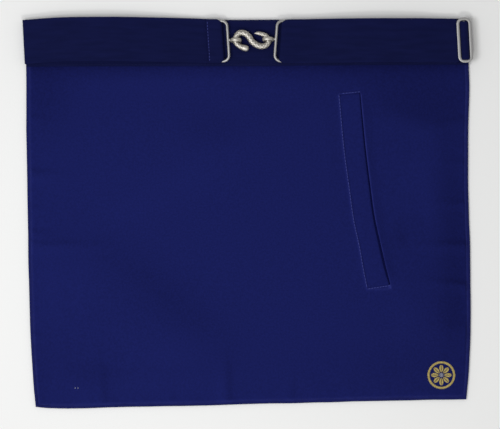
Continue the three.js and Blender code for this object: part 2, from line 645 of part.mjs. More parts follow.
// A clasp loop with its eye; facing is 1 for the left loop and -1 for the right one
function buildClaspLoop(facing, leanDegrees, eyeRise) {
  const barX = CLASP_X - (facing * CLASP_SPAN) / 2;
  const eyeX = CLASP_X - (facing * EYE_SPAN) / 2;
  const eyeY = BELT_Y + eyeRise;
  const lean = radians(leanDegrees);
  const halfHeight = (LOOP_HEIGHT - WIRE_DIAMETER) / 2;
  const outline = new THREE.Path();
  const [outer, inner] = [LOOP_OUTER_CORNER, LOOP_INNER_CORNER];
  const quarter = Math.PI / 2;
  outline.absarc(LOOP_REACH - outer, halfHeight - outer, outer, 0, quarter, false);
  outline.absarc(inner, halfHeight - inner, inner, quarter, 2 * quarter, false);
  outline.absarc(inner, inner - halfHeight, inner, 2 * quarter, 3 * quarter, false);
  outline.absarc(LOOP_REACH - outer, outer - halfHeight, outer, 3 * quarter, 4 * quarter, false);
  const wrapX = barX - facing * LOOP_REACH;
  const place = ({ x, y }) =>
    new THREE.Vector3(
      wrapX + facing * x * Math.cos(lean) - y * Math.sin(lean),
      BELT_Y - BELT_BOW / 2 + y * Math.cos(lean) + facing * x * Math.sin(lean),
      LOOP_Z + (LOOP_LIFT * x) / LOOP_REACH,
    );
  const points = outline.getPoints(3).map(place);
  const distinct = points.filter((point, i) => point.distanceTo(points[(i + 1) % points.length]) > 1e-3);
  const up = new THREE.Vector3(0, 0, 1);
  const frame = wire(distinct, distinct.map(() => WIRE_DIAMETER), 1, up, 8, true);

  const tilt = radians(EYE_TILT);
  const eyeUp = new THREE.Vector3(0, Math.sin(tilt), Math.cos(tilt));
  const eyeAxis = new THREE.Vector3(0, Math.cos(tilt), -Math.sin(tilt));
  const eyeCentre = new THREE.Vector3(eyeX, eyeY, EYE_Z);
  const [halfLength, halfRise] = [(EYE_LENGTH - EYE_WIRE) / 2, (EYE_HEIGHT - EYE_WIRE) / 2];
  const steps = 16;
  const ring = Array.from({ length: steps }, (_, i) => {
    const turn = (i / steps) * 2 * Math.PI;
    const point = eyeCentre.clone().addScaledVector(eyeUp, halfRise * Math.sin(turn));
    point.x += halfLength * Math.cos(turn);
    return point;
  });
  const eye = wire(ring, ring.map(() => EYE_WIRE), 1, eyeAxis, 6, true);

  const neckFrom = place({ x: LOOP_REACH, y: eyeY - BELT_Y + BELT_BOW / 2 });
  const neckTo = eyeCentre.clone().setX(eyeX - facing * halfLength);
  const neck = wire([neckFrom, neckTo], [0.9 * EYE_WIRE, 0.9 * EYE_WIRE], 1, up, 8);
  return joined([frame, eye, neck]);
}

function buildSnakeHook() {
  const bottomOfEye = EYE_Z - EYE_HEIGHT / 2 + EYE_WIRE + LAYER_GAP;
  const z = bottomOfEye + (0.86 * HOOK_BODY * HOOK_FLATNESS) / 2;
  const rows = SNAKE_ROWS.map(({ along, across, girth }) => ({
    place: new THREE.Vector3(CLASP_X + along * HOOK_LENGTH, BELT_Y + across * HOOK_SPREAD, z),
    girth,
  }));
  const curve = new THREE.CatmullRomCurve3(rows.map((row) => row.place), false, "centripetal");
  const steps = 2 * (rows.length - 1);
  const points = Array.from({ length: steps + 1 }, (_, i) => curve.getPoint(i / steps));
  const widths = points.map((_, i) => {
    const [a, b] = [rows[Math.floor(i / 2)], rows[Math.ceil(i / 2)]];
    return (HOOK_BODY * (a.girth + b.girth)) / 2;
  });
  return wire(points, widths, HOOK_FLATNESS, new THREE.Vector3(0, 0, 1), 12);
}

function roundedRectangle(path, left, bottom, width, height, radius) {
  path.absarc(left + width - radius, bottom + height - radius, radius, 0, Math.PI / 2, false);
  path.absarc(left + radius, bottom + height - radius, radius, Math.PI / 2, Math.PI, false);
  path.absarc(left + radius, bottom + radius, radius, Math.PI, 1.5 * Math.PI, false);
  path.absarc(left + width - radius, bottom + radius, radius, 1.5 * Math.PI, 2 * Math.PI, false);
  path.closePath();
  return path;
}

function buildSlide() {
  const bevel = 0.2 * SLIDE_THICKNESS;
  const slotWidth = (SLIDE_WIDTH - 2 * SLIDE_SIDE - SLIDE_BAR) / 2;
  const slotLength = SLIDE_LENGTH - 2 * SLIDE_END;
  const shape = roundedRectangle(
    new THREE.Shape(),
    -SLIDE_WIDTH / 2,
    -SLIDE_LENGTH / 2,
    SLIDE_WIDTH,
    SLIDE_LENGTH,
    SLIDE_CORNER,
  );
  for (const left of [-SLIDE_WIDTH / 2 + SLIDE_SIDE, SLIDE_BAR / 2]) {
    const slot = roundedRectangle(new THREE.Path(), left, -slotLength / 2, slotWidth, slotLength, 0.3 * slotWidth);
    shape.holes.push(slot);
  }
  const geometry = new THREE.ExtrudeGeometry(shape, {
    depth: SLIDE_THICKNESS - 2 * bevel,
    bevelThickness: bevel,
    bevelSize: bevel,
    bevelOffset: -bevel,
    bevelSegments: 1,
    curveSegments: 4,
  });
  return geometry.translate(0, 0, bevel - SLIDE_THICKNESS / 2);
}

function buildRosette() {
  const radius = ROSETTE_DIAMETER / 2;
  const disc = (outer, hole) => {
    const shape = new THREE.Shape();
    shape.absarc(0, 0, outer, 0, 2 * Math.PI, false);
    if (hole) shape.holes.push(new THREE.Path().absarc(0, 0, hole, 0, 2 * Math.PI, true));
    return new THREE.ExtrudeGeometry(shape, { depth: ROSETTE_THICKNESS, bevelEnabled: false, curveSegments: 14 });
  };
  const petalLength = radius - ROSETTE_RING / 2;
  const petalWidth = 0.26 * petalLength;
  const petals = Array.from({ length: ROSETTE_PETALS }, (_, i) => {
    const shape = new THREE.Shape();
    shape.moveTo(0, 0);
    shape.quadraticCurveTo(petalLength / 2, 2 * petalWidth, petalLength, 0);
    shape.quadraticCurveTo(petalLength / 2, -2 * petalWidth, 0, 0);
    const petal = new THREE.ExtrudeGeometry(shape, { depth: ROSETTE_THICKNESS, bevelEnabled: false, curveSegments: 4 });
    return petal.rotateZ((i / ROSETTE_PETALS) * 2 * Math.PI);
  });
  return joined([disc(radius, radius - ROSETTE_RING), disc(0.22 * radius), ...petals]);
}

function piece(name, geometry, material) {
  const mesh = new THREE.Mesh(geometry, material);
  mesh.name = name;
  return mesh;
}

const apron = new THREE.Group();
apron.name = "lodge_apron";

const body = new THREE.Group();
body.add(
  piece("front_panel", buildFrontPanel(), frontCloth),
  piece("lining_panel", buildLiningPanel(), liningCloth),
  piece("pocket_welt", buildPocketWelt(), liningCloth),
);

const rosette = piece("corner_rosette", buildRosette(), goldThread);
rosette.position.set(ROSETTE_X, ROSETTE_Y, LINING_TOP + LAYER_GAP);
body.add(rosette);

const belt = new THREE.Group();
belt.add(
  piece("waistband", buildWaistband(), webbing),
  piece("left_strap", buildLeftStrap(), webbing),
  piece("right_strap", buildRightStrap(), webbing),
  piece("left_clasp_loop", buildClaspLoop(1, LEFT_LOOP_LEAN, LEFT_EYE_RISE), nickel),
  piece("right_clasp_loop", buildClaspLoop(-1, RIGHT_LOOP_LEAN, RIGHT_EYE_RISE), nickel),
  piece("snake_hook", buildSnakeHook(), nickel),
);

const slide = piece("slide_adjuster", buildSlide(), nickel);
slide.position.set(SLIDE_X, beltMiddle(RIGHT_STRAP_ROWS, 1), SLIDE_Z);
slide.rotation.z = radians(SLIDE_LEAN);
belt.add(slide);

apron.add(body, belt);

export default apron;
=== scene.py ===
"""A lodge apron lying face down: navy lining, welt pocket, folded belt, snake clasp and slide."""

from __future__ import annotations

import logging
import math
import random
from bisect import bisect_right
from collections.abc import Callable, Iterable, Sequence
from dataclasses import dataclass, field
from enum import Enum
from functools import cached_property
from itertools import accumulate, pairwise
from typing import Any

import bmesh
import bpy
from mathutils import Matrix, Vector, noise


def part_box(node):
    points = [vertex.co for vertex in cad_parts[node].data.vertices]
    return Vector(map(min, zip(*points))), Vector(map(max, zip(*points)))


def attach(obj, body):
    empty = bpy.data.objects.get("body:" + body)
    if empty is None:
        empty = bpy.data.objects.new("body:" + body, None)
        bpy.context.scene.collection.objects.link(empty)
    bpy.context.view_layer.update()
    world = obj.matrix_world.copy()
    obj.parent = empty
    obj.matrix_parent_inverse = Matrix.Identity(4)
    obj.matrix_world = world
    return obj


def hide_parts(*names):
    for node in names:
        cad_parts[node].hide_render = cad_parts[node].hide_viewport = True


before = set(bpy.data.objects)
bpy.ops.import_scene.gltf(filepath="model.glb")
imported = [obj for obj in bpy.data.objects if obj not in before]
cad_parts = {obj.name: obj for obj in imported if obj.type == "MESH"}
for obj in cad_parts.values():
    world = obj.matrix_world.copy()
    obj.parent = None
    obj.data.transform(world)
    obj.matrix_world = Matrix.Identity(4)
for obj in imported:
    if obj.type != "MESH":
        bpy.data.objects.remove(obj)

log = logging.getLogger("lodge_apron")

# Sizes in this file are millimetres, and meshes are written in metres
MM = 0.001
BODY = "root"
TAU = 2 * math.pi
UP = Vector((0, 0, 1))

Mesh = bmesh.types.BMesh
Piece = bpy.types.Object
Socket = bpy.types.NodeSocket
Point2 = tuple[float, float]
Place = Callable[[float, float], Vector]
Curve = Callable[[float], float]
Line = Callable[[float], Vector]
Radii = Callable[[float, float], Point2]


def box_mm(node: str) -> tuple[Vector, Vector]:
    """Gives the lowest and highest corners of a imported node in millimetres."""
    low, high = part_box(node)
    return Vector(low) / MM, Vector(high) / MM


def clamp(value: float) -> float:
    """Keeps a share between 0 and 1."""
    return min(max(value, 0.0), 1.0)


def smoothstep(value: float, low: float, high: float) -> float:
    """Eases from 0 at low to 1 at high."""
    share = clamp((value - low) / (high - low))
    return share * share * (3 - 2 * share)


def lerp(start: float, end: float, share: float) -> float:
    """Mixes two numbers by a share from 0 to 1."""
    return start + (end - start) * share


def between(stops: Sequence[float], span: int, share: float) -> float:
    """Gives the place at a share of one of the spans between several stops."""
    return lerp(stops[span], stops[span + 1], share)


def uneven(first: float, second: float, third: float) -> float:
    """Gives soft noise between about -1 and 1."""
    return noise.noise(Vector((first, second, third)))


def running(points: Sequence[Any]) -> list[float]:
    """Gives how far each point lies along the line through them all."""
    return list(accumulate((math.dist(first, second) for first, second in pairwise(points)), initial=0.0))


def on_circle(x: float, y: float, radius: float, degrees: float) -> Point2:
    """Gives a point on a circle round a centre."""
    return x + radius * math.cos(math.radians(degrees)), y + radius * math.sin(math.radians(degrees))


def rounded_box(corners: Iterable[Point2], radii: Iterable[float], count: int) -> list[Point2]:
    """Gives evenly spaced points round a box with round corners.

    Args:
        corners: The centres of its corners, leftwards round from the upper right.
        radii: The radius of each corner.
        count: How many points to give.

    Returns:
        The points, which end just short of the first.
    """
    arc = 10
    line: list[Point2] = []
    for quarter, ((x, y), radius) in enumerate(zip(corners, radii)):
        line += [on_circle(x, y, radius, 90 * (quarter + i / arc)) for i in range(arc + 1)]
    line.append(line[0])
    travelled = running(line)
    spaced = []
    for i in range(count):
        target = travelled[-1] * i / count
        j = bisect_right(travelled, target) - 1
        share = (target - travelled[j]) / (travelled[j + 1] - travelled[j])
        spaced.append(tuple(lerp(line[j][axis], line[j + 1][axis], share) for axis in (0, 1)))
    return spaced


def spread(length: float, step: float, near: Sequence[float] = (), far: Sequence[float] = ()) -> list[float]:
    """Lists shares from 0 to 1 along a length, even in the middle and close together at its ends.

    Args:
        length: The length that is divided.
        step: The wanted distance between two places in the middle.
        near: Extra distances from the start.
        far: Extra distances from the end.

    Returns:
        The shares in rising order, with both ends.
    """
    start = near[-1] if near else 0.0
    stop = length - (far[-1] if far else 0.0)
    count = max(round((stop - start) / step), 1)
    middle = [lerp(start, stop, i / count) for i in range(count + 1)]
    places = [*near[:-1], *middle, *(length - d for d in reversed(far[:-1]))]
    if near:
        places.insert(0, 0.0)
    if far:
        places.append(length)
    return [place / length for place in places]


class Table:
    """Columns of numbers beside a rising first one, read along a smooth curve through the rows."""

    def __init__(self, columns: str, *rows: tuple[float, ...]) -> None:
        """Takes the rows and names their columns.

        Args:
            columns: The names with spaces between them, first the one that the rows rise in.
            rows: The rows in rising order.
        """
        names = columns.split()
        self.columns = dict(zip(names, zip(*rows)))
        self.spots = self.columns[names[0]]

    def at(self, spot: float, column: str) -> float:
        """Reads a column between its rows.

        Args:
            spot: The place to read at, in the first column's terms.
            column: The column to read.

        Returns:
            The value there, held level past both ends.
        """
        spots, values = self.spots, self.columns[column]
        last = len(spots) - 1
        i = min(max(bisect_right(spots, spot) - 1, 0), last - 1)
        span = spots[i + 1] - spots[i]
        before, after = (
            span * (values[b] - values[a]) / (spots[b] - spots[a])
            for a, b in ((max(i - 1, 0), i + 1), (i, min(i + 2, last)))
        )
        t = clamp((spot - spots[i]) / span)
        rest = (2 * t**3 - 3 * t**2 + 1) * values[i] + (3 * t**2 - 2 * t**3) * values[i + 1]
        return rest + (t**3 - 2 * t**2 + t) * before + (t**3 - t**2) * after


@dataclass(frozen=True)
class Band:
    """A soft band beside a line: how much it adds, how far off it lies and how wide it is."""

    amount: float
    off: float
    width: float

    def at(self, distance: float) -> float:
        """Gives what the band adds at a distance from the line."""
        return self.amount * math.exp(-(((distance - self.off) / self.width) ** 2))


# Finishes


def linear_rgb(hex_colour: str) -> tuple[float, float, float, float]:
    """Turns an sRGB hex colour into linear light.

    Args:
        hex_colour: Six hex digits after a hash sign.

    Returns:
        Red, green, blue and an alpha of 1.
    """
    values = [int(hex_colour[i : i + 2], 16) / 255 for i in (1, 3, 5)]
    linear = [v / 12.92 if v <= 0.04045 else ((v + 0.055) / 1.055) ** 2.4 for v in values]
    return (*linear, 1.0)


def wave_scale(period_mm: float) -> float:
    """Gives a Wave texture's scale for a period in millimetres on coordinates in metres."""
    return TAU / (20 * period_mm * MM)


def noise_scale(grain_mm: float) -> float:
    """Gives a Noise texture's scale for a grain size in millimetres on coordinates in metres."""
    return 1 / (grain_mm * MM)


class Material:
    """A material that is being built."""

    def __init__(self, name: str) -> None:
        """Starts an empty material with a name.

        Args:
            name: The material's name.
        """
        self.data = bpy.data.materials.new(name)
        self.data.use_nodes = True
        self.tree = self.data.node_tree
        self.tree.nodes.clear()

    @cached_property
    def place(self) -> Socket:
        """The point on the piece, in metres from the shared origin."""
        return self.add("TexCoord", "Object", {})

    def add(self, kind: str, output: str, inputs: dict[str | int, Any], **settings: Any) -> Socket | None:
        """Adds one shader node with its settings and links.

        Args:
            kind: The node's type name without its first word.
            output: The socket that is wanted of it, or nothing.
            inputs: Values of its sockets, or the sockets of other nodes that feed them.
            settings: Values of the node's own properties.

        Returns:
            The wanted socket.
        """
        made = self.tree.nodes.new("ShaderNode" + kind)
        for name, value in settings.items():
            setattr(made, name, value)
        for socket, value in inputs.items():
            if isinstance(value, Socket):
                self.tree.links.new(value, made.inputs[socket])
            else:
                made.inputs[socket].default_value = value
        return made.outputs[output] if output else None

    def blend(self, factor: Any, first: Any, second: Any) -> Socket:
        """Mixes two values, or two hex colours, by a factor.

        Args:
            factor: A number or a socket.
            first: What a factor of 0 gives.
            second: What a factor of 1 gives.

        Returns:
            The mixed socket.
        """
        kind = "FLOAT"
        if isinstance(second, str):
            kind, second = "RGBA", linear_rgb(second)
            first = linear_rgb(first) if isinstance(first, str) else first
        return self.add("Mix", "Result", {"Factor": factor, "A": first, "B": second}, data_type=kind)

    def finish(self, **inputs: Any) -> bpy.types.Material:
        """Adds the surface shader and gives the finished material.

        Args:
            inputs: The shader's values or feeding sockets, with underscores for spaces.

        Returns:
            The finished material.
        """
        named = {name.replace("_", " "): value for name, value in inputs.items()}
        surface = self.add("BsdfPrincipled", "BSDF", named)
        self.add("OutputMaterial", "", {"Surface": surface})
        return self.data


@dataclass(frozen=True)
class TwillCloth:
    """Polyester twill, piece-dyed: diagonal ribs that catch a little light, and no shine."""

    name: str
    light: str
    dark: str
    worn_and_lit: str
    rib_mm: float = 0.7
    pick_mm: float = 0.45
    fleck_mm: float = 1.6
    rib_depth_mm: float = 0.06
    rib_turn: float = 38.0
    painted_shading_strength: float = 0.6

    def make(self) -> bpy.types.Material:
        """Builds the cloth on object coordinates, because it lies nearly flat.

        Returns:
            The finished material.
        """
        made = Material(self.name)
        turn = (0, 0, math.radians(self.rib_turn))
        turned = made.add("Mapping", "Vector", {"Vector": made.place, "Rotation": turn})
        # Ribs of 0.7 mm are a little coarser than the real ones, so that they show in a close picture
        rib_inputs = {"Vector": turned, "Scale": wave_scale(self.rib_mm), "Distortion": 0.6, "Detail": 1.0}
        ribs = made.add("TexWave", "Fac", rib_inputs, bands_direction="X")
        pick_inputs = {"Vector": made.place, "Scale": wave_scale(self.pick_mm), "Distortion": 0.4}
        picks = made.add("TexWave", "Fac", pick_inputs, bands_direction="Y")
        fleck_inputs = {"Vector": made.place, "Scale": noise_scale(self.fleck_mm), "Detail": 3.0}
        flecks = made.add("TexNoise", "Fac", fleck_inputs)
        # Painted shade: one attribute darkens where the cloth faces away from the lamps and in listed
        # patches;
        # the other lightens folded edges and seams, as wear together with a painted highlight
        painted_shading, wear_and_highlight = (made.add("Attribute", "Fac", {}, attribute_name=name) for name in ("painted_shading", "wear_and_highlight"))
        fleck_range = {"Value": flecks, "From Min": 0.34, "From Max": 0.66, "To Min": 0.38, "To Max": 0.62}
        fleck_tone = made.add("MapRange", "Result", fleck_range)
        painted_shading_inputs = {0: painted_shading, 1: self.painted_shading_strength, 2: fleck_tone}
        tone = made.add("Math", "Value", painted_shading_inputs, operation="MULTIPLY_ADD", use_clamp=True)
        cloth = made.blend(tone, self.dark, self.light)
        weave = made.blend(0.35, ribs, picks)
        bump_inputs = {"Height": weave, "Strength": 0.6, "Distance": self.rib_depth_mm * MM}
        return made.finish(
            Base_Color=made.blend(wear_and_highlight, cloth, self.worn_and_lit),
            Roughness=made.blend(flecks, 0.8, 0.95),
            Specular_IOR_Level=0.03,
            Sheen_Weight=0.012,
            Sheen_Roughness=0.6,
            Normal=made.add("Bump", "Normal", bump_inputs),
        )


@dataclass(frozen=True)
class BeltWebbing:
    """Woven polypropylene webbing: cross ribs between faint lengthwise cords, darker than the cloth."""

    name: str
    light: str
    dark: str
    rib_mm: float = 1.2
    cord_mm: float = 2.4
    streak_mm: float = 4.0
    streak_squeeze: float = 0.15
    rib_depth_mm: float = 0.14

    def make(self) -> bpy.types.Material:
        """Builds the webbing on the strip's own map, whose first axis runs along it.

        Returns:
            The finished material.
        """
        made = Material(self.name)
        along = made.add("UVMap", "UV", {}, uv_map="weave")
        rib_inputs = {"Vector": along, "Scale": wave_scale(self.rib_mm), "Distortion": 0.5, "Detail": 1.0}
        ribs = made.add("TexWave", "Fac", rib_inputs, bands_direction="X")
        cord_inputs = {"Vector": along, "Scale": wave_scale(self.cord_mm), "Distortion": 0.3}
        cords = made.add("TexWave", "Fac", cord_inputs, bands_direction="Y")
        squeeze = (self.streak_squeeze, 1.0, 1.0)
        drawn = made.add("Mapping", "Vector", {"Vector": along, "Scale": squeeze})
        streak_inputs = {"Vector": drawn, "Scale": noise_scale(self.streak_mm), "Detail": 3.0}
        streaks = made.add("TexNoise", "Fac", streak_inputs)
        tone = made.add("MapRange", "Result", {"Value": streaks, "From Min": 0.34, "From Max": 0.66})
        weave = made.blend(0.4, ribs, cords)
        bump_inputs = {"Height": weave, "Strength": 0.7, "Distance": self.rib_depth_mm * MM}
        return made.finish(
            Base_Color=made.blend(tone, self.dark, self.light),
            Roughness=0.75,
            Specular_IOR_Level=0.05,
            Sheen_Weight=0.012,
            Sheen_Roughness=0.5,
            Normal=made.add("Bump", "Normal", bump_inputs),
        )


@dataclass(frozen=True)
class NickelPlate:
    """Nickel plate that handling has dulled: soft reflections, fine pits and dark hollows."""

    name: str
    bright: str
    hollow: str
    roughness: float = 0.4
    stain: float = 0.2
    cloud_mm: float = 3.0
    pit_mm: float = 0.8
    pit_depth_mm: float = 0.05

    def make(self) -> bpy.types.Material:
        """Builds the metal; the mesh's hollow attribute darkens what polishing doesn't reach.

        Returns:
            The finished material.
        """
        made = Material(self.name)
        depth = made.add("Attribute", "Fac", {}, attribute_name="hollow")
        pit_inputs = {"Vector": made.place, "Scale": noise_scale(self.pit_mm), "Detail": 4.0}
        pits = made.add("TexNoise", "Fac", pit_inputs)
        cloud_inputs = {"Vector": made.place, "Scale": noise_scale(self.cloud_mm)}
        cloud = made.add("TexNoise", "Fac", cloud_inputs)
        dark_inputs = {0: cloud, 1: self.stain, 2: depth}
        dark = made.add("Math", "Value", dark_inputs, operation="MULTIPLY_ADD", use_clamp=True)
        bump_inputs = {"Height": pits, "Strength": 0.4, "Distance": self.pit_depth_mm * MM}
        return made.finish(
            Base_Color=made.blend(dark, self.bright, self.hollow),
            Metallic=1.0,
            Roughness=made.blend(cloud, self.roughness - 0.06, self.roughness + 0.1),
            Normal=made.add("Bump", "Normal", bump_inputs),
        )


@dataclass(frozen=True)
class SewingThread:
    """Spun thread: round, lighter than the cloth, with a short soft highlight on each stitch."""

    name: str
    light: str
    dark: str
    roughness: float = 0.6
    specular: float = 0.12
    ply_mm: float = 0.5
    ply_depth_mm: float = 0.05

    def make(self) -> bpy.types.Material:
        """Builds the thread with its colour broken up along its length.

        Returns:
            The finished material.
        """
        made = Material(self.name)
        ply_inputs = {"Vector": made.place, "Scale": noise_scale(self.ply_mm)}
        ply = made.add("TexNoise", "Fac", ply_inputs)
        tone = made.add("MapRange", "Result", {"Value": ply, "From Min": 0.35, "From Max": 0.65})
        bump_inputs = {"Height": ply, "Strength": 0.5, "Distance": self.ply_depth_mm * MM}
        return made.finish(
            Base_Color=made.blend(tone, self.dark, self.light),
            Roughness=self.roughness,
            Specular_IOR_Level=self.specular,
            Normal=made.add("Bump", "Normal", bump_inputs),
        )


@dataclass(frozen=True)
class PaintedBoard:
    """Smooth board with matt white paint, which only scatters light."""

    name: str = "matt_white_board"
    colour: str = "#f2f2f1"

    def make(self) -> bpy.types.Material:
        """Builds the matt paint."""
        made = Material(self.name)
        return made.finish(Base_Color=linear_rgb(self.colour), Roughness=0.9, Specular_IOR_Level=0.1)


class Finish(Enum):
    """The finishes that the apron's pieces choose from."""

    # The lining is even mid navy; its lighter edge colour is wear together with a painted highlight along
    # every folded edge and seam
    LINING = TwillCloth("navy_twill_lining", light="#1c2366", dark="#0f1343", worn_and_lit="#30367f")
    # The pocket's inside is painted nearly black, as painted shade in the pocket's mouth, and it shows no
    # wear
    SHADED_POCKETING = TwillCloth("navy_pocketing_painted_shade", light="#0e1248", dark="#090c36", worn_and_lit="#0e1248")
    # The outer cloth has coarser ribs; its navy is a little greyer than the lining's, which paints a
    # highlight on its rolled edge
    FRONT = TwillCloth("navy_barathea_front", light="#1f2462", dark="#131642", worn_and_lit="#2b3182", rib_mm=0.9)
    # The webbing is flat and darker than the cloth below it
    WEBBING = BeltWebbing("navy_belt_webbing", light="#0e133e", dark="#0b1038")
    # Casting leaves the snake warm and bright on its crowns and dark in its grooves
    CAST_NICKEL = NickelPlate("cast_nickel_plate", bright="#cbc7be", hollow="#504b45", roughness=0.46)
    # Drawn wire is smoother, greyer and hardly stained
    WIRE_NICKEL = NickelPlate(
        "drawn_wire_nickel", bright="#acabaa", hollow="#605f5e", roughness=0.48, stain=0.06
    )
    # These threads nearly match the webbing, stand a little off the cloth, and stand well off it
    BAND_THREAD = SewingThread("dark_band_thread", light="#12184a", dark="#0c1138")
    SEAM_THREAD = SewingThread("navy_seam_thread", light="#23296b", dark="#1a1f5a")
    PALE_THREAD = SewingThread("pale_seam_thread", light="#474e98", dark="#353b7e")
    # Satin stitch in metallic gold has a sharper glint than plain thread
    GOLD_THREAD = SewingThread(
        "gold_satin_thread", light="#cdbb74", dark="#a18e4c", roughness=0.4, specular=0.4
    )
    # Silver-white thread looks grey beside the gold
    SILVER_THREAD = SewingThread("silver_white_thread", light="#a9abb8", dark="#7d7f90", roughness=0.45)


# Mesh building


def shaped_grid(columns: Sequence[float], rows: Sequence[float], place: Place) -> Mesh:
    """Makes a grid whose vertices are put where a function says, with a map in millimetres.

    Args:
        columns: The first parameter's values.
        rows: The second parameter's values.
        place: Gives a point in millimetres for two parameters.

    Returns:
        The mesh. Its map named weave holds the parameters themselves in metres.
    """
    mesh = bmesh.new()
    across, down = len(columns) - 1, len(rows) - 1
    bmesh.ops.create_grid(mesh, x_segments=across, y_segments=down, size=1)
    uv = mesh.loops.layers.uv.new("weave")
    spots: dict[bmesh.types.BMVert, Point2] = {}
    for vert in mesh.verts:
        spot = columns[round((vert.co.x + 1) / 2 * across)], rows[round((vert.co.y + 1) / 2 * down)]
        spots[vert] = spot
        vert.co = place(*spot)
    for face in mesh.faces:
        for loop in face.loops:
            first, second = spots[loop.vert]
            loop[uv].uv = (first * MM, second * MM)
    return mesh


def plan_map(mesh: Mesh) -> None:
    """Maps a sheet that lies flat by its own plan.

    Args:
        mesh: The sheet.
    """
    uv = mesh.loops.layers.uv["weave"]
    for face in mesh.faces:
        for loop in face.loops:
            loop[uv].uv = loop.vert.co.xy * MM


def face_up(mesh: Mesh) -> None:
    """Turns a sheet's faces upwards.

    Args:
        mesh: The sheet.
    """
    bmesh.ops.recalc_face_normals(mesh, faces=mesh.faces)
    if sum(face.normal.z for face in mesh.faces) < 0:
        bmesh.ops.reverse_faces(mesh, faces=mesh.faces)
    mesh.normal_update()


def tube(
    centre: Line, radii: Radii, up: Vector, along: int, around: int, closed: bool = False
) -> Mesh:
    """Sweeps an oval along a curve.

    Args:
        centre: Gives the middle line's point for a share from 0 to 1.
        radii: Gives the half width and half height for a share and a turn in radians.
        up: The direction that the height is measured in.
        along: How many steps run along the curve.
        around: How many sides the oval has.
        closed: Whether the curve ends where it starts.

    Returns:
        One closed body in millimetres.
    """

    def onto(share: float) -> float:
        """Brings a share back onto the curve."""
        return share % 1 if closed else clamp(share)

    def place(share: float, turn: float) -> Vector:
        """Gives the place on the skin for a share and a turn.

        Args:
            share: The share of the curve.
            turn: The turn round it.

        Returns:
            The place.
        """
        tangent = (centre(onto(share + 1 / along)) - centre(onto(share - 1 / along))).normalized()
        side = tangent.cross(up).normalized()
        wide, high = radii(share, turn)
        out = side * wide * math.cos(turn) + side.cross(tangent) * high * math.sin(turn)
        return centre(onto(share)) + out

    columns = [i / along for i in range(along + 1)]
    mesh = shaped_grid(columns, [TAU * i / around for i in range(around + 1)], place)
    bmesh.ops.remove_doubles(mesh, verts=mesh.verts, dist=0.004)
    if not closed:
        bmesh.ops.holes_fill(mesh, edges=[edge for edge in mesh.edges if edge.is_boundary])
    bmesh.ops.recalc_face_normals(mesh, faces=mesh.faces)
    return mesh


def joined(meshes: Iterable[Mesh]) -> Mesh:
    """Puts several meshes into one.

    Args:
        meshes: The meshes, which are freed.

    Returns:
        The whole mesh.
    """
    whole = bmesh.new()
    for mesh in meshes:
        part = bpy.data.meshes.new("part")
        mesh.to_mesh(part)
        mesh.free()
        whole.from_mesh(part)
        bpy.data.meshes.remove(part)
    return whole


def fused(solid: Piece, voxel_mm: float, smoothing: int) -> None:
    """Melts an object's crossing bodies into one skin, with the soft fillets of solder.

    Args:
        solid: The object, whose mesh is replaced.
        voxel_mm: The size of the cells that the new skin is cut from.
        smoothing: How many times the skin is smoothed.
    """
    melt = solid.modifiers.new("melt", "REMESH")
    melt.mode = "VOXEL"
    melt.voxel_size = voxel_mm * MM
    melt.use_smooth_shade = True
    ease = solid.modifiers.new("ease", "SMOOTH")
    ease.factor = 0.5
    ease.iterations = smoothing
    graph = bpy.context.evaluated_depsgraph_get()
    skin = bpy.data.meshes.new_from_object(solid.evaluated_get(graph), depsgraph=graph)
    skin.name = solid.name
    solid.modifiers.clear()
    old = solid.data
    solid.data = skin
    bpy.data.meshes.remove(old)


@dataclass(frozen=True)
class Wall:
    """A sheet's thickness, the side of its mesh that it lies on, and the rounding of its cut edges."""

    thickness: float
    side: float
    rounding: float


@dataclass
class Workshop:
    """Makes each finish once, turns meshes into objects and enters the finished pieces."""

    made: dict[Finish, bpy.types.Material] = field(default_factory=dict)

    def shape(self, mesh_data: Mesh, name: str, *finishes: Finish) -> Piece:
        """Turns a mesh in millimetres into a smooth-shaded object at the origin.

        Args:
            mesh_data: The mesh, which is freed.
            name: The object's name.
            finishes: Its material slots in order.

        Returns:
            The object, linked to the scene.
        """
        bmesh.ops.scale(mesh_data, vec=(MM, MM, MM), verts=mesh_data.verts)
        mesh = bpy.data.meshes.new(name)
        for face in mesh_data.faces:
            face.smooth = True
        mesh_data.to_mesh(mesh)
        mesh_data.free()
        for finish in finishes:
            if finish not in self.made:
                self.made[finish] = finish.value.make()
            mesh.materials.append(self.made[finish])
        made = bpy.data.objects.new(name, mesh)
        bpy.context.scene.collection.objects.link(made)
        return made

    def cut(self, mesh: Mesh, name: str, finish: Finish, wall: Wall) -> Piece:
        """Makes a sheet with its thickness and its cut edges rounded.

        Args:
            mesh: The open mesh of its face.
            name: The sheet's name.
            finish: Its finish.
            wall: Its thickness.

        Returns:
            The sheet.
        """
        sheet = self.shape(mesh, name, finish)
        depth = sheet.modifiers.new("thickness", "SOLIDIFY")
        depth.thickness = wall.thickness * MM
        depth.offset = wall.side
        depth.use_even_offset = True
        edge = sheet.modifiers.new("soft_edge", "BEVEL")
        edge.width = wall.rounding * MM
        edge.segments = 2
        edge.limit_method = "ANGLE"
        edge.angle_limit = math.radians(50)
        return sheet

    @staticmethod
    def enter(piece: Piece, slot: str, *nodes: str) -> None:
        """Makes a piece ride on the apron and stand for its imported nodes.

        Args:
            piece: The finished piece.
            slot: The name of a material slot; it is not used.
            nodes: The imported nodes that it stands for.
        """
        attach(piece, BODY)
        if nodes:
            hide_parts(*nodes)
        log.info("%s: %d faces", piece.name, len(piece.data.polygons))


# Stitches


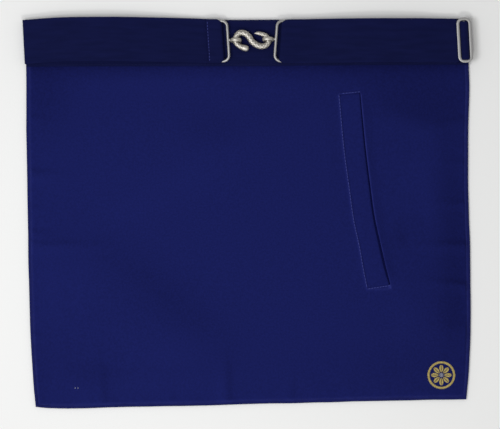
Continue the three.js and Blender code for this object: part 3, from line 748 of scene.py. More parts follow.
@dataclass(frozen=True)
class Stitch:
    """One visible stitch: where its middle lies, which way it runs and how long it is."""

    middle: Vector
    direction: Vector
    length: float

    def lay(self, mesh: Mesh, width: float, height: float) -> None:
        """Adds the stitch to a mesh as one long bead of thread.

        Args:
            mesh: The mesh that takes it.
            width: How wide the thread lies.
            height: How high it stands.
        """
        side = UP.cross(self.direction).normalized()
        turn = Matrix((self.direction, side, self.direction.cross(side))).transposed().to_4x4()
        stretch = Matrix.Diagonal((self.length / 2, width / 2, height / 2, 1))
        place = Matrix.Translation(self.middle) @ turn @ stretch
        bmesh.ops.create_icosphere(mesh, subdivisions=2, radius=1, matrix=place)


@dataclass(frozen=True)
class StitchRow:
    """A row of straight machine stitches."""

    name: str
    finish: Finish
    slot: str
    thread: float = 0.42
    pitch: float = 2.9
    gap: float = 0.5

    def along(self, line: Sequence[Vector]) -> list[Stitch]:
        """Lays stitches end to end along a line.

        Args:
            line: Close points on the cloth, in millimetres.

        Returns:
            The stitches, each with its gap to the next.
        """
        stitches: list[Stitch] = []
        travelled = 0.0
        start = line[0]
        for before, after in pairwise(line):
            travelled += (after - before).length
            if travelled >= self.pitch:
                run = after - start
                stitches.append(Stitch((after + start) / 2, run.normalized(), run.length - self.gap))
                start, travelled = after, 0.0
        return stitches

    def sew(self, workshop: Workshop, stitches: Iterable[Stitch]) -> None:
        """Makes one piece of all the stitches.

        Args:
            workshop: Gives the thread and enters the piece.
            stitches: The stitches to make.
        """
        mesh = bmesh.new()
        for stitch in stitches:
            stitch.lay(mesh, self.thread, self.thread)
        workshop.enter(workshop.shape(mesh, self.name, self.finish), self.slot)


# Outline of the cloth


@dataclass(frozen=True)
class Outline:
    """The apron's outline as cut and hemmed, with slightly wavy edges."""

    width: float = 406.0
    height: float = 350.0
    wobble: float = 0.28
    wobble_length: float = 24.0
    # How far down the apron, and how far each side lies inside the widest width, as shares
    sides: Table = Table(
        "down left right",
        (0, 0, 0.0045), (0.12, 0.0012, 0.0043), (0.18, 0.0017, 0.0028), (0.3, 0.0022, 0.0053),
        (0.45, 0.0045, 0.005), (0.6, 0.0065, 0.0013), (0.8, 0.0112, 0), (0.92, 0.0168, 0.0035),
        (1, 0.0232, 0.0095),
    )
    # How far across the apron, and how far its waist and hem dip, as shares of the height
    ends: Table = Table(
        "across top hem",
        (0, 0.0016, 0.0078), (0.03, 0.0014, 0.0112), (0.1, 0.001, 0.0114), (0.2, 0.0006, 0.0082),
        (0.35, 0.0002, 0.0055), (0.5, 0, 0), (0.62, -0.001, -0.0021), (0.8, -0.0024, -0.0078),
        (1, -0.0036, -0.0117),
    )

    def ripple(self, distance: float, seed: float) -> float:
        """Gives the small waviness of an edge at a distance along it."""
        return self.wobble * uneven(distance / self.wobble_length, seed, 0.5)

    def left(self, down: float) -> float:
        """Gives the left edge's X."""
        return (self.sides.at(down, "left") - 0.5) * self.width + self.ripple(down * self.height, 3.1)

    def right(self, down: float) -> float:
        """Gives the right edge's X."""
        return (0.5 - self.sides.at(down, "right")) * self.width + self.ripple(down * self.height, 7.7)

    def top(self, across: float) -> float:
        """Gives the waist edge's Y."""
        return (0.5 - self.ends.at(across, "top")) * self.height

    def top_over(self, x: float) -> float:
        """Gives the waist edge's Y over an X."""
        return self.top(clamp(0.5 + x / self.width))

    def hem(self, across: float) -> float:
        """Gives the hem's Y."""
        return (-0.5 - self.ends.at(across, "hem")) * self.height + self.ripple(across * self.width, 12.9)

    def inward(self, x: float, y: float) -> tuple[float, float, float]:
        """Gives how far a place lies inside the left edge, the right edge and the hem."""
        down, across = clamp(0.5 - y / self.height), clamp(0.5 + x / self.width)
        return x - self.left(down), self.right(down) - x, y - self.hem(across)

    def point(self, across: float, down: float) -> Vector:
        """Gives the place in the plane for two shares."""
        x = lerp(self.left(down), self.right(down), across)
        return Vector((x, lerp(self.top(across), self.hem(across), down), 0))

    def inset(self, across: float, down: float, depth: float) -> Vector:
        """Gives a place pushed in so that it lies at least a depth inside every edge."""
        side, end = depth / self.width, depth / self.height
        return self.point(min(max(across, side), 1 - side), min(max(down, end), 1 - end))

    def edge_line(self, depth: float, step: float) -> list[Vector]:
        """Follows the left side, the hem and the right side.

        Args:
            depth: How far inside them the line runs.
            step: The distance between two of its points.

        Returns:
            The points in order.
        """
        side, end = depth / self.width, depth / self.height
        tall, wide = round(self.height / step), round(self.width / step)
        left = [self.point(side, lerp(end, 1 - end, i / tall)) for i in range(tall)]
        hem = [self.point(lerp(side, 1 - side, i / wide), 1 - end) for i in range(wide)]
        right = [self.point(1 - side, lerp(1 - end, end, i / tall)) for i in range(tall + 1)]
        return [*left, *hem, *right]


@dataclass(frozen=True)
class PocketWindow:
    """The leaning window that is cut through the lining for the welt."""

    left: float = 83.9
    top: float = 106.9
    length: float = 176.0
    width: float = 18.0
    lean: float = 25.6
    mouth: float = 2.6
    end_tilts: Point2 = (5.5, 8.6)
    # How far down the pocket, then its lean, its width and its mouth as shares of their sizes
    rows: Table = Table(
        "down lean width mouth",
        (0, 0, 1.03, 0.3), (0.287, 0.18, 1.045, 0.45), (0.474, 0.355, 1.02, 0.5),
        (0.649, 0.523, 1.02, 0.6), (0.787, 0.727, 1.02, 0.68), (0.9, 0.862, 1.08, 0.7),
        (1, 1, 1.13, 0.45),
    )

    def point(self, down: float, across: float) -> Vector:
        """Gives a place in the window.

        Args:
            down: The share of its length.
            across: The share of its width.

        Returns:
            The place in the plane.
        """
        inside, share = clamp(down), clamp(across)
        width = self.width * self.rows.at(inside, "width")
        left = self.left + self.lean * self.rows.at(inside, "lean")
        tilt = math.tan(math.radians(lerp(*self.end_tilts, inside)))
        return Vector((left + across * width, self.top - down * self.length + share * width * tilt, 0))

    def mouth_at(self, down: float) -> float:
        """Gives how far the pocket gapes at a share of its length."""
        return self.mouth * self.rows.at(clamp(down), "mouth")

    def sides_of(self, x: float, y: float) -> tuple[float, float, float]:
        """Gives a place's share of the length, and how far it lies right of both long sides."""
        down = (self.top - y) / self.length
        return down, x - self.point(down, 0).x, x - self.point(down, 1).x

    def distance(self, x: float, y: float) -> float:
        """Gives how far a place lies outside the window."""
        down, past_left, past_right = self.sides_of(x, y)
        return math.hypot(max(-past_left, past_right, 0), max(-down, down - 1, 0) * self.length)


# Relief of the lining


@dataclass(frozen=True)
class Swell:
    """A soft patch of the lining, longer one way than the other: a rise, or a patch of painted shade (below
    nought) or painted light.
    """

    x: float
    y: float
    length: float
    width: float
    turn: float
    amount: float

    def at(self, x: float, y: float) -> float:
        """Gives what the patch adds at a place.

        Args:
            x, y: The place in the plane.

        Returns:
            The height, or the painted shade or light there.
        """
        angle = math.radians(self.turn)
        dx, dy = x - self.x, y - self.y
        along = (dx * math.cos(angle) + dy * math.sin(angle)) / self.length
        aside = (dy * math.cos(angle) - dx * math.sin(angle)) / self.width
        return self.amount * math.exp(-(along * along + aside * aside))


@dataclass(frozen=True)
class Tuck:
    """A short crease that runs in from a seam, gentle on one side and steep on the other."""

    spot: float
    reach: float
    width: float
    rise: float
    lean: float = 0.0
    gentle: float = 1.7
    steep: float = 0.8

    def at(self, place: float, inward: float) -> float:
        """Gives its height.

        Args:
            place: The place along the seam.
            inward: The distance in from it.

        Returns:
            The height there.
        """
        off = (place - self.spot - self.lean * inward) / self.width
        if inward > 2.2 * self.reach or abs(off) > 4:
            return 0.0
        flank = self.gentle if off < 0 else self.steep
        return math.exp(-((inward / self.reach) ** 2)) * self.rise * math.exp(-((off / flank) ** 2))


@dataclass(frozen=True)
class Step:
    """A long soft step in the cloth: higher on the right-hand side of its line, as it is listed."""

    line: tuple[Point2, ...]
    rise: float
    width: float

    def at(self, x: float, y: float) -> float:
        """Gives its height.

        Args:
            x, y: The place in the plane.

        Returns:
            The height there.
        """
        nearest, side = math.inf, 1.0
        for (x0, y0), (x1, y1) in pairwise(self.line):
            dx, dy = x1 - x0, y1 - y0
            share = clamp(((x - x0) * dx + (y - y0) * dy) / (dx * dx + dy * dy))
            away = math.hypot(x - x0 - share * dx, y - y0 - share * dy)
            if away < nearest:
                nearest, side = away, math.copysign(1.0, (y - y0) * dx - (x - x0) * dy)
        return self.rise * (0.5 - 0.5 * math.tanh(side * nearest / self.width))


@dataclass(frozen=True)
class LiningRelief:
    """Height of the lining above its sewn level, from soft swells down to pucker at the seams."""

    outline: Outline
    window: PocketWindow
    band_edge: float
    rosette: Point2
    rosette_radius: float
    # The stitch line, and the bands beside it and beside the pocket
    stitch_depth: float = 3.4
    groove: Band = Band(-0.35, 0.0, 0.7)
    pucker: Band = Band(0.3, 1.5, 6.5)
    pucker_length: float = 7.0
    lip: Band = Band(1.3, 0.0, 6.0)
    seam_ridge: Band = Band(0.4, 1.3, 0.9)
    # Wear and a painted highlight along the seam's folded edge, the pocket's lip and the welt's edges
    seam_wear_and_highlight: Band = Band(0.35, -0.4, 0.9)
    lip_wear_and_highlight: Band = Band(0.8, 0.0, 1.0)
    welt_wear_and_highlight: Band = Band(0.3, 1.0, 1.0)
    wear_and_highlight_patch: float = 5.0
    # Where the relief grows from nought to its full height, away from what holds the cloth down
    band_fade: Point2 = (-1.5, 12.0)
    rosette_fade: Point2 = (1.05, 1.9)
    seam_fade: float = 32.0
    tuck_fade: Point2 = (1.5, 5.0)
    pocket_fade: Point2 = (2.0, 18.0)
    lip_fades: tuple[Point2, Point2] = ((-0.01, 0.12), (0.93, 1.0))
    drift: float = 0.4
    drift_length: float = 62.0
    crumple: float = 0.06
    crumple_size: Point2 = (13.0, 17.0)
    step: Step = Step(
        line=((-210, -26), (-140, -28), (-117, -42), (-89, -62), (-62, -86), (-26, -112), (-14, -182)),
        rise=2.6,
        width=18.0,
    )
    swells: tuple[Swell, ...] = (
        Swell(-128, -112, 66, 42, 30, 0.6), Swell(-8, 35, 95, 70, 20, 1.2),
        Swell(-120, 70, 70, 42, 0, 1.0), Swell(154, 80, 32, 11, -17, 0.7),
        Swell(177, 22, 58, 18, 92, 1.6), Swell(149, -12, 26, 10, 84, -1.6),
        Swell(60, -112, 60, 36, 10, 1.0), Swell(176, -96, 34, 16, 80, 1.1),
    )
    # Patches of painted light and shade, which stand in for the shading of the lining's folds
    painted_shade_patches: tuple[Swell, ...] = (
        Swell(-80, 117, 62, 11, 0, 0.14), Swell(-32, 78, 26, 15, 0, -0.14),
        Swell(22, 91, 20, 9, 0, -0.12), Swell(-73, 20, 74, 17, 26, 0.1),
        Swell(-74, -78, 62, 20, -40, -0.15), Swell(-159, -73, 36, 20, 90, 0.14),
        Swell(-78, -129, 42, 16, 0, 0.12), Swell(-192, -147, 50, 22, 70, -0.2),
        Swell(160, 104, 62, 26, -8, -0.42), Swell(156, 89, 28, 7, -17, -0.08),
        Swell(152, 20, 36, 16, 90, 0.16), Swell(138, -22, 17, 9, 80, -0.22),
        Swell(190, -48, 90, 13, 90, -0.26), Swell(118, -140, 60, 22, 0, -0.12),
        Swell(142, -100, 26, 15, 90, 0.1), Swell(186, -50, 150, 46, 90, -0.26),
        Swell(-186, 110, 34, 24, 90, -0.34), Swell(-140, -150, 14, 24, 90, -0.2),
    )
    # A painted shadow on the lining below the waistband, where the raised straps shade it
    band_shade: float = 0.5
    band_reach: float = 8.0
    hem_tucks: tuple[Tuck, ...] = (
        Tuck(-146, 24, 4.0, 1.2, 0.1), Tuck(-133, 36, 5.0, 1.9, -0.05), Tuck(-70, 15, 3.6, 0.8),
        Tuck(-19, 38, 4.6, 2.0, -0.04), Tuck(38, 26, 4.0, 1.0, 0.1), Tuck(94, 16, 3.6, 0.8),
    )
    left_tucks: tuple[Tuck, ...] = (
        Tuck(86, 18, 3.6, 0.9, -0.1), Tuck(35, 24, 4.2, 1.6), Tuck(3, 14, 3.2, 0.8),
        Tuck(-19, 20, 3.2, 1.1, -0.1), Tuck(-30, 50, 4.0, 1.5), Tuck(-114, 16, 3.6, 0.8),
    )
    right_tucks: tuple[Tuck, ...] = (
        Tuck(84, 24, 3.6, 1.0, -0.15), Tuck(45, 16, 3.2, 0.9), Tuck(8, 26, 3.2, 1.1),
        Tuck(-30, 34, 3.8, 1.8), Tuck(-67, 30, 4.0, 1.8, 0.08), Tuck(-108, 26, 9.0, 1.8),
    )

    def at(self, x: float, y: float) -> float:
        """Gives the height above the sewn level.

        Args:
            x, y: The place in the plane.

        Returns:
            The height there.
        """
        from_left, from_right, from_hem = self.outline.inward(x, y)
        edge = min(from_left, from_right, from_hem)
        from_pocket = self.window.distance(x, y)
        from_rosette = math.hypot(x - self.rosette[0], y - self.rosette[1]) / self.rosette_radius
        free = smoothstep(edge, self.stitch_depth, self.seam_fade)
        off_rosette = smoothstep(from_rosette, *self.rosette_fade)

        soft = self.step.at(x, y) + sum(swell.at(x, y) for swell in self.swells)
        drift = uneven(x / self.drift_length, y / self.drift_length, 80 / self.drift_length)
        soft += self.drift * drift
        height = max(soft, 0.0) * free * smoothstep(from_pocket, *self.pocket_fade) * off_rosette
        height += self.crumple * uneven(x / self.crumple_size[0], y / self.crumple_size[1], 5.2) * free

        # The seams draw the cloth into short uneven waves that die away from the stitches
        along = y if min(from_left, from_right) < from_hem else x
        from_stitches = edge - self.stitch_depth
        height += self.pucker.at(from_stitches) * uneven(along / self.pucker_length, 9.3, 0.5)
        height += self.groove.at(from_stitches)
        creases = (
            (self.left_tucks, y, from_left),
            (self.right_tucks, y, from_right),
            (self.hem_tucks, x, from_hem),
        )
        drawn = sum(tuck.at(place, inward) for tucks, place, inward in creases for tuck in tucks)
        height += drawn * smoothstep(edge, *self.tuck_fade) * off_rosette

        # The pocket is sewn down round its window and its mouth stands up in a lip
        down_pocket, _, past_right = self.window.sides_of(x, y)
        if past_right >= -0.5:
            near, far = self.lip_fades
            on_length = smoothstep(down_pocket, *near) * (1 - smoothstep(down_pocket, *far))
            height += on_length * self.lip.at(past_right)
        else:
            height += self.seam_ridge.at(from_pocket)
        return height * smoothstep(self.band_edge - y, *self.band_fade)

    def painted_shade_at(self, x: float, y: float) -> float:
        """Gives the painted light and shade at a place: listed patches for the folds' shading, less a
        painted shadow below the waistband; below nought is darker.
        """
        band_shadow = self.band_shade * math.exp(-max(self.band_edge - y, 0.0) / self.band_reach)
        return sum(patch.at(x, y) for patch in self.painted_shade_patches) - band_shadow

    def wear_and_highlight(self, x: float, y: float) -> float:
        """Gives how much wear and painted highlight lighten the cloth: most on the pocket's lip and round
        its seams.

        Args:
            x, y: The place in the plane.

        Returns:
            A share from 0 to 1.
        """
        edge_wear_and_highlight = self.seam_wear_and_highlight.at(min(self.outline.inward(x, y)) - self.stitch_depth)
        on_lip = self.window.sides_of(x, y)[2] >= -0.5
        edge_wear_and_highlight += (self.lip_wear_and_highlight if on_lip else self.welt_wear_and_highlight).at(self.window.distance(x, y))
        return clamp(edge_wear_and_highlight * (0.75 + 0.5 * uneven(x / self.wear_and_highlight_patch, y / self.wear_and_highlight_patch, 8.8)))


@dataclass
class ApronCloth:
    """The cloth body: a front sheet that rolls round the edges, the lining and its pocket welt."""

    workshop: Workshop
    outline: Outline = field(default_factory=Outline)
    window: PocketWindow = field(default_factory=PocketWindow)
    front_wall: Wall = Wall(0.7, 0, 0.15)
    lining_wall: Wall = Wall(0.8, -1, 0.12)
    welt_wall: Wall = Wall(0.63, -1, 0.12)
    bag_wall: Wall = Wall(0.3, 0, 0.05)
    seam_depth: float = 2.2
    edge_drop: float = 0.45
    window_drop: float = 0.12
    # The way that faces away from the lamps, which the painted shading darkens
    away_from_light: Point2 = (0.6, 0.8)
    lip_round: float = 1.4
    lip_drop: float = 1.1
    margin_turns: int = 9
    margin_wave: float = 0.12
    welt_margin: float = 0.08
    welt_crown: float = 0.16
    welt_mouth_fall: Band = Band(0.4, 0.0, 0.6)
    welt_end_fall: Band = Band(0.3, 0.0, 0.8)
    bag_lift: float = 0.45
    thread_lift: float = 0.12
    cell: float = 2.2
    hidden_cell: float = 5.5
    front_cell: float = 5.0
    hem_lines: tuple[float, ...] = (0.001, 0.25, 0.6, 1.1, 1.5, 1.9, 2.4, 3.0, 3.9, 5.2, 7.0)
    rim_lines: tuple[float, ...] = (0.001, 0.35, 0.8, 1.3, 1.7, 2.3, 3.2, 4.6, 6.4)
    welt_lines: tuple[float, ...] = (0.001, 0.25, 0.6, 1.2)

    def __post_init__(self) -> None:
        """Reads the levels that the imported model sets."""
        self.lining_level = box_mm("pocket_welt")[1].z
        low, high = box_mm("corner_rosette")
        centre = (low + high) / 2
        self.relief = LiningRelief(
            outline=self.outline,
            window=self.window,
            band_edge=box_mm("waistband")[0].y,
            rosette=(centre.x, centre.y),
            rosette_radius=(high.x - low.x) / 2,
        )

    def surface(self, x: float, y: float) -> float:
        """Gives the height of the lining's upper face."""
        return self.lining_level + self.relief.at(x, y)

    def on_lining(self, point: Vector, lift: float) -> Vector:
        """Puts a plan point on the lining, a little above it."""
        return Vector((point.x, point.y, self.surface(point.x, point.y) + lift))

    def front_sheet(self) -> None:
        """Makes the front cloth, flat underneath, with its margins turned up round the edge."""
        thickness, half = self.front_wall.thickness, self.front_wall.thickness / 2
        radius = (self.lining_level - thickness) / 2
        first = radius + half
        across, down = (
            spread(size, self.front_cell, (first,), (first,))[1:-1]
            for size in (self.outline.width, self.outline.height)
        )
        mesh = shaped_grid(across, down, lambda u, v: self.outline.inset(u, v, first) + UP * half)
        bmesh.ops.recalc_face_normals(mesh, faces=mesh.faces)
        uv = mesh.loops.layers.uv["weave"]
        spots = {loop.vert: tuple(loop[uv].uv / MM) for face in mesh.faces for loop in face.loops}
        border = [edge for edge in mesh.edges if edge.is_boundary]
        turn = 180 / self.margin_turns
        rings = [
            on_circle(first, half + radius, radius, -90 - turn * i) for i in range(1, self.margin_turns + 1)
        ]
        top = half + 2 * radius
        rings += [(self.seam_depth - 0.25, top + 0.05), (self.seam_depth, top - 0.35)]
        for depth, height in rings:
            grown = bmesh.ops.extrude_edge_only(mesh, edges=border)["geom"]
            fresh = {item for item in grown if isinstance(item, bmesh.types.BMVert)}
            for vert in fresh:
                partner = next(
                    other for edge in vert.link_edges for other in edge.verts if other not in fresh
                )
                u, v = spots[vert] = spots[partner]
                spot = self.outline.inset(self.beyond(u, across), self.beyond(v, down), depth)
                wave = self.margin_wave * uneven(spot.x / 15, spot.y / 15, 2.2)
                vert.co = spot + UP * (height + wave * smoothstep(height, 0.8, 1.6))
            border = [
                item for item in grown if isinstance(item, bmesh.types.BMEdge) and set(item.verts) <= fresh
            ]
        plan_map(mesh)
        bmesh.ops.remove_doubles(mesh, verts=mesh.verts, dist=0.01)
        piece = self.workshop.cut(mesh, "front_cloth_sheet", Finish.FRONT, self.front_wall)
        self.workshop.enter(piece, "front_cloth", "front_panel")

    @staticmethod
    def beyond(share: float, shares: Sequence[float]) -> float:
        """Sends a share at either end of a list out to the cloth's very edge."""
        return 0.0 if share <= shares[0] + 1e-6 else 1.0 if share >= shares[-1] - 1e-6 else share

    def lining_lines(self) -> tuple[list[float], list[float]]:
        """Lists the lining's columns and rows.

        Returns:
            Both in three spans: 0 to 1 before the window, 1 to 2 across it and 2 to 3 after it.
        """
        outline, window, rim, hem = self.outline, self.window, self.rim_lines, self.hem_lines
        left_span = outline.width / 2 + window.left
        right_span = outline.width / 2 - window.left - window.width
        top_span = outline.height / 2 - window.top
        hem_span = outline.height - top_span - window.length
        columns = [
            *spread(left_span, self.cell, hem, rim),
            *(1 + share for share in spread(window.width, self.cell)[1:-1]),
            *(2 + share for share in spread(right_span, self.cell, rim, hem)),
        ]
        rows = [
            *spread(top_span, self.cell, (0.001, self.hidden_cell), rim),
            *(1 + share for share in spread(window.length, self.cell)[1:-1]),
            *(2 + share for share in spread(hem_span, self.cell, rim, hem)),
        ]
        return columns, rows

    def lining_point(self, column: float, row: float) -> Vector:
        """Gives a place on the lining, where lines meet at the window's corners.

        Args:
            column: The column, in the spans that lining_lines gives.
            row: The row, in the same way.

        Returns:
            The place in the plane.
        """
        outline, window, depth = self.outline, self.window, self.seam_depth
        column_span, row_span = min(int(column), 2), min(int(row), 2)
        aside, below = column - column_span, row - row_span
        start = outline.width / 2 + window.left
        stops = (0, start, start + window.width, outline.width)
        guess = between(stops, column_span, aside) / outline.width
        across_window, along_window = (0.0, aside, 1.0)[column_span], (0.0, below, 1.0)[row_span]
        upper, lower = (window.point(end, across_window).y for end in (0, 1))
        y = between((outline.top(guess) - depth, upper, lower, outline.hem(guess) + depth), row_span, below)
        down = clamp(0.5 - y / outline.height)
        left, right = (window.point(along_window, side).x for side in (0, 1))
        sides = (outline.left(down) + depth, left, right, outline.right(down) - depth)
        return Vector((between(sides, column_span, aside), y, 0))

    def lining_sheet(self) -> None:
        """Makes the lining with its window, its folded edges and all its relief."""
        mesh = shaped_grid(*self.lining_lines(), self.lining_point)
        uv = mesh.loops.layers.uv["weave"]
        inside = []
        for face in mesh.faces:
            centre = sum((loop[uv].uv for loop in face.loops), Vector((0, 0))) / len(face.loops) / MM
            if 1 < centre.x < 2 and 1 < centre.y < 2:
                inside.append(face)
        bmesh.ops.delete(mesh, geom=inside, context="FACES")
        # The lighter edge colour: wear together with a painted highlight on folded edges, seams and the
        # pocket's lip
        wear_and_highlight = mesh.verts.layers.float.new("wear_and_highlight")
        for vert in mesh.verts:
            vert[wear_and_highlight] = self.relief.wear_and_highlight(vert.co.x, vert.co.y)
            vert.co.z = self.surface(vert.co.x, vert.co.y)
        self.fold_under(mesh)
        plan_map(mesh)
        face_up(mesh)
        # Painted shading: darker where the relief faces away from the lamps, plus painted patches and a
        # painted shadow below the waistband
        painted_shading = mesh.verts.layers.float.new("painted_shading")
        for vert in mesh.verts:
            slope = -vert.normal.dot(Vector((*self.away_from_light, 0)))
            vert[painted_shading] = slope + self.relief.painted_shade_at(vert.co.x, vert.co.y)
        piece = self.workshop.cut(mesh, "lining_sheet", Finish.LINING, self.lining_wall)
        self.workshop.enter(piece, "lining_cloth", "lining_panel")

    def fold_under(self, mesh: Mesh) -> None:
        """Rounds the lining's outer edge and the pocket's mouth down, as folded cloth is.

        Args:
            mesh: The lining, whose vertices near an edge are lowered.
        """
        for vert in mesh.verts:
            down, _, past_right = self.window.sides_of(vert.co.x, vert.co.y)
            away = self.window.distance(vert.co.x, vert.co.y)
            if past_right >= -0.1 and 0 < down < 1 and away < self.lip_round:
                short = 1 - away / self.lip_round
                vert.co.z -= self.lip_drop * (1 - math.sqrt(1 - short * short))
            elif vert.is_boundary:
                vert.co.z -= self.window_drop if away < 1 else self.edge_drop

    def welt_strip(self) -> None:
        """Makes the welt: a folded strip that fills the window and leaves the mouth at its right."""
        window, margin, length = self.window, self.welt_margin, self.window.length

        def place(along: float, across: float) -> Vector:
            """Gives a place on the welt for a distance along it and a share across it.

            Args:
                along: The distance.
                across: The share.

            Returns:
                The place.
            """
            down = along / length
            width = window.point(down, 1).x - window.point(down, 0).x
            span = width - margin - window.mouth_at(down)
            point = window.point(down, (margin + across * span) / width)
            bulge = self.welt_crown * math.sin(math.pi * across) ** 0.6
            wave = 0.08 * uneven(along / 15, across * 2, 3.4)
            drop = self.welt_mouth_fall.at((1 - across) * span) + self.welt_end_fall.at(along)
            point.z = self.lining_level - self.window_drop - 0.05 + bulge + wave - drop
            return point

        columns = [share * (length - 2 * margin) + margin for share in spread(length, self.cell)]
        mesh = shaped_grid(columns, spread(window.width, 1.2, self.welt_lines, self.welt_lines), place)
        face_up(mesh)
        piece = self.workshop.cut(mesh, "pocket_welt_strip", Finish.LINING, self.welt_wall)
        self.workshop.enter(piece, "lining_cloth", "pocket_welt")

    def pocket_bag(self) -> None:
        """Makes the flat inside of the pocket, which shows through its mouth."""
        window = self.window
        level = self.front_wall.thickness + self.bag_lift

        def place(along: float, across: float) -> Vector:
            """Gives a place on the bag for a distance along it and a share across it."""
            dip = 0.08 * uneven(along / 9, across * 4, 6.1)
            return window.point(along / window.length, across) + UP * (level + dip)

        columns = [0.5 + share * (window.length - 1) for share in spread(window.length, 3.0)]
        mesh = shaped_grid(columns, spread(1.0, 0.12), place)
        face_up(mesh)
        # The nearly black pocketing is painted shade inside the pocket's mouth
        piece = self.workshop.cut(mesh, "pocket_bag_sheet", Finish.SHADED_POCKETING, self.bag_wall)
        self.workshop.enter(piece, "lining_cloth")

    def hem_stitches(self) -> None:
        """Sews the line that holds the two cloths together along the sides and the hem."""
        row = StitchRow("hem_stitches", Finish.SEAM_THREAD, "lining_cloth")
        line = self.outline.edge_line(self.relief.stitch_depth, 0.7)
        seen = [point for point in line if point.y < self.relief.band_edge - 1]
        row.sew(self.workshop, row.along([self.on_lining(point, self.thread_lift) for point in seen]))

    def pocket_stitches(self) -> None:
        """Sews the lighter line round the three sewn sides of the pocket window."""
        row = StitchRow(
            "pocket_stitches", Finish.PALE_THREAD, "lining_cloth", thread=0.6, pitch=2.4, gap=0.2
        )
        window, off, tall, wide = self.window, 1.0, 300, 40
        left = [window.point(i / tall, 0) + Vector((-off, 0, 0)) for i in range(tall + 1)]
        bottom = [window.point(1, i / wide) + Vector((0, -off, 0)) for i in range(wide + 1)]
        top = [window.point(0, 1 - i / wide) + Vector((0, off, 0)) for i in range(wide + 1)]
        stitches = []
        for side in (left, bottom, top):
            stitches += row.along([self.on_lining(point, self.thread_lift) for point in side])
        row.sew(self.workshop, stitches)

    def bar_tack(self) -> None:
        """Sews the pair of pale stitches that come through near the lower left corner."""
        row = StitchRow("corner_tack_stitches", Finish.SILVER_THREAD, "lining_cloth", thread=0.5)
        spots = (Vector((-157.5, -160.4, 0)), Vector((-154.9, -160.4, 0)))
        upright = Vector((0, 1, 0))
        row.sew(self.workshop, [Stitch(self.on_lining(spot, 0.15), upright, 1.6) for spot in spots])

    def build(self) -> None:
        """Makes every piece of the cloth body."""
        self.front_sheet()
        self.lining_sheet()
        self.pocket_bag()
        self.welt_strip()
        self.hem_stitches()
        self.pocket_stitches()
        self.bar_tack()


# Belt


class UprightPath:
    """Points of a strap's middle line in the upright plane along the waist."""

    def __init__(self, x: float, z: float) -> None:
        """Starts the line at a point."""
        self.points: list[Point2] = [(x, z)]

    def line_to(self, x: float, z: float, step: float = 2.5) -> None:
        """Runs straight to a point.

        Args:
            x, z: The point, along and up.
            step: The distance between two points of the line.
        """
        x0, z0 = self.points[-1]
        count = max(1, round(math.hypot(x - x0, z - z0) / step))
        self.points += [(lerp(x0, x, i / count), lerp(z0, z, i / count)) for i in range(1, count + 1)]

    def run(self, start: float, end: float, steps: int, height: Curve, first: int = 1) -> None:
        """Follows a height from one X to another."""
        places = [lerp(start, end, i / steps) for i in range(first, steps + 1)]
        self.points += [(x, height(x)) for x in places]

    def arc(self, x: float, z: float, radius: float, start: float, end: float, steps: int = 12) -> None:
        """Turns about a centre.

        Args:
            x, z: The centre, along and up.
            radius: The radius.
            start: The angle that it starts from, in degrees.
            end: The angle that it ends at.
            steps: How many steps it takes.
        """
        if math.dist(self.points[-1], on_circle(x, z, radius, start)) > 0.05:
            self.points.append(on_circle(x, z, radius, start))
        turns = [lerp(start, end, i / steps) for i in range(1, steps + 1)]
        self.points += [on_circle(x, z, radius, turn) for turn in turns]

    def curve_to(self, *knots: Point2, steps: int = 8) -> None:
        """Follows a Bezier curve.

        Args:
            knots: Its two handles and its end.
            steps: How many steps it takes.
        """
        spots = (self.points[-1], *knots)
        for i in range(1, steps + 1):
            t = i / steps
            weights = ((1 - t) ** 3, 3 * t * (1 - t) ** 2, 3 * t * t * (1 - t), t**3)
            x, z = (sum(weight * spot[axis] for weight, spot in zip(weights, spots)) for axis in (0, 1))
            self.points.append((x, z))


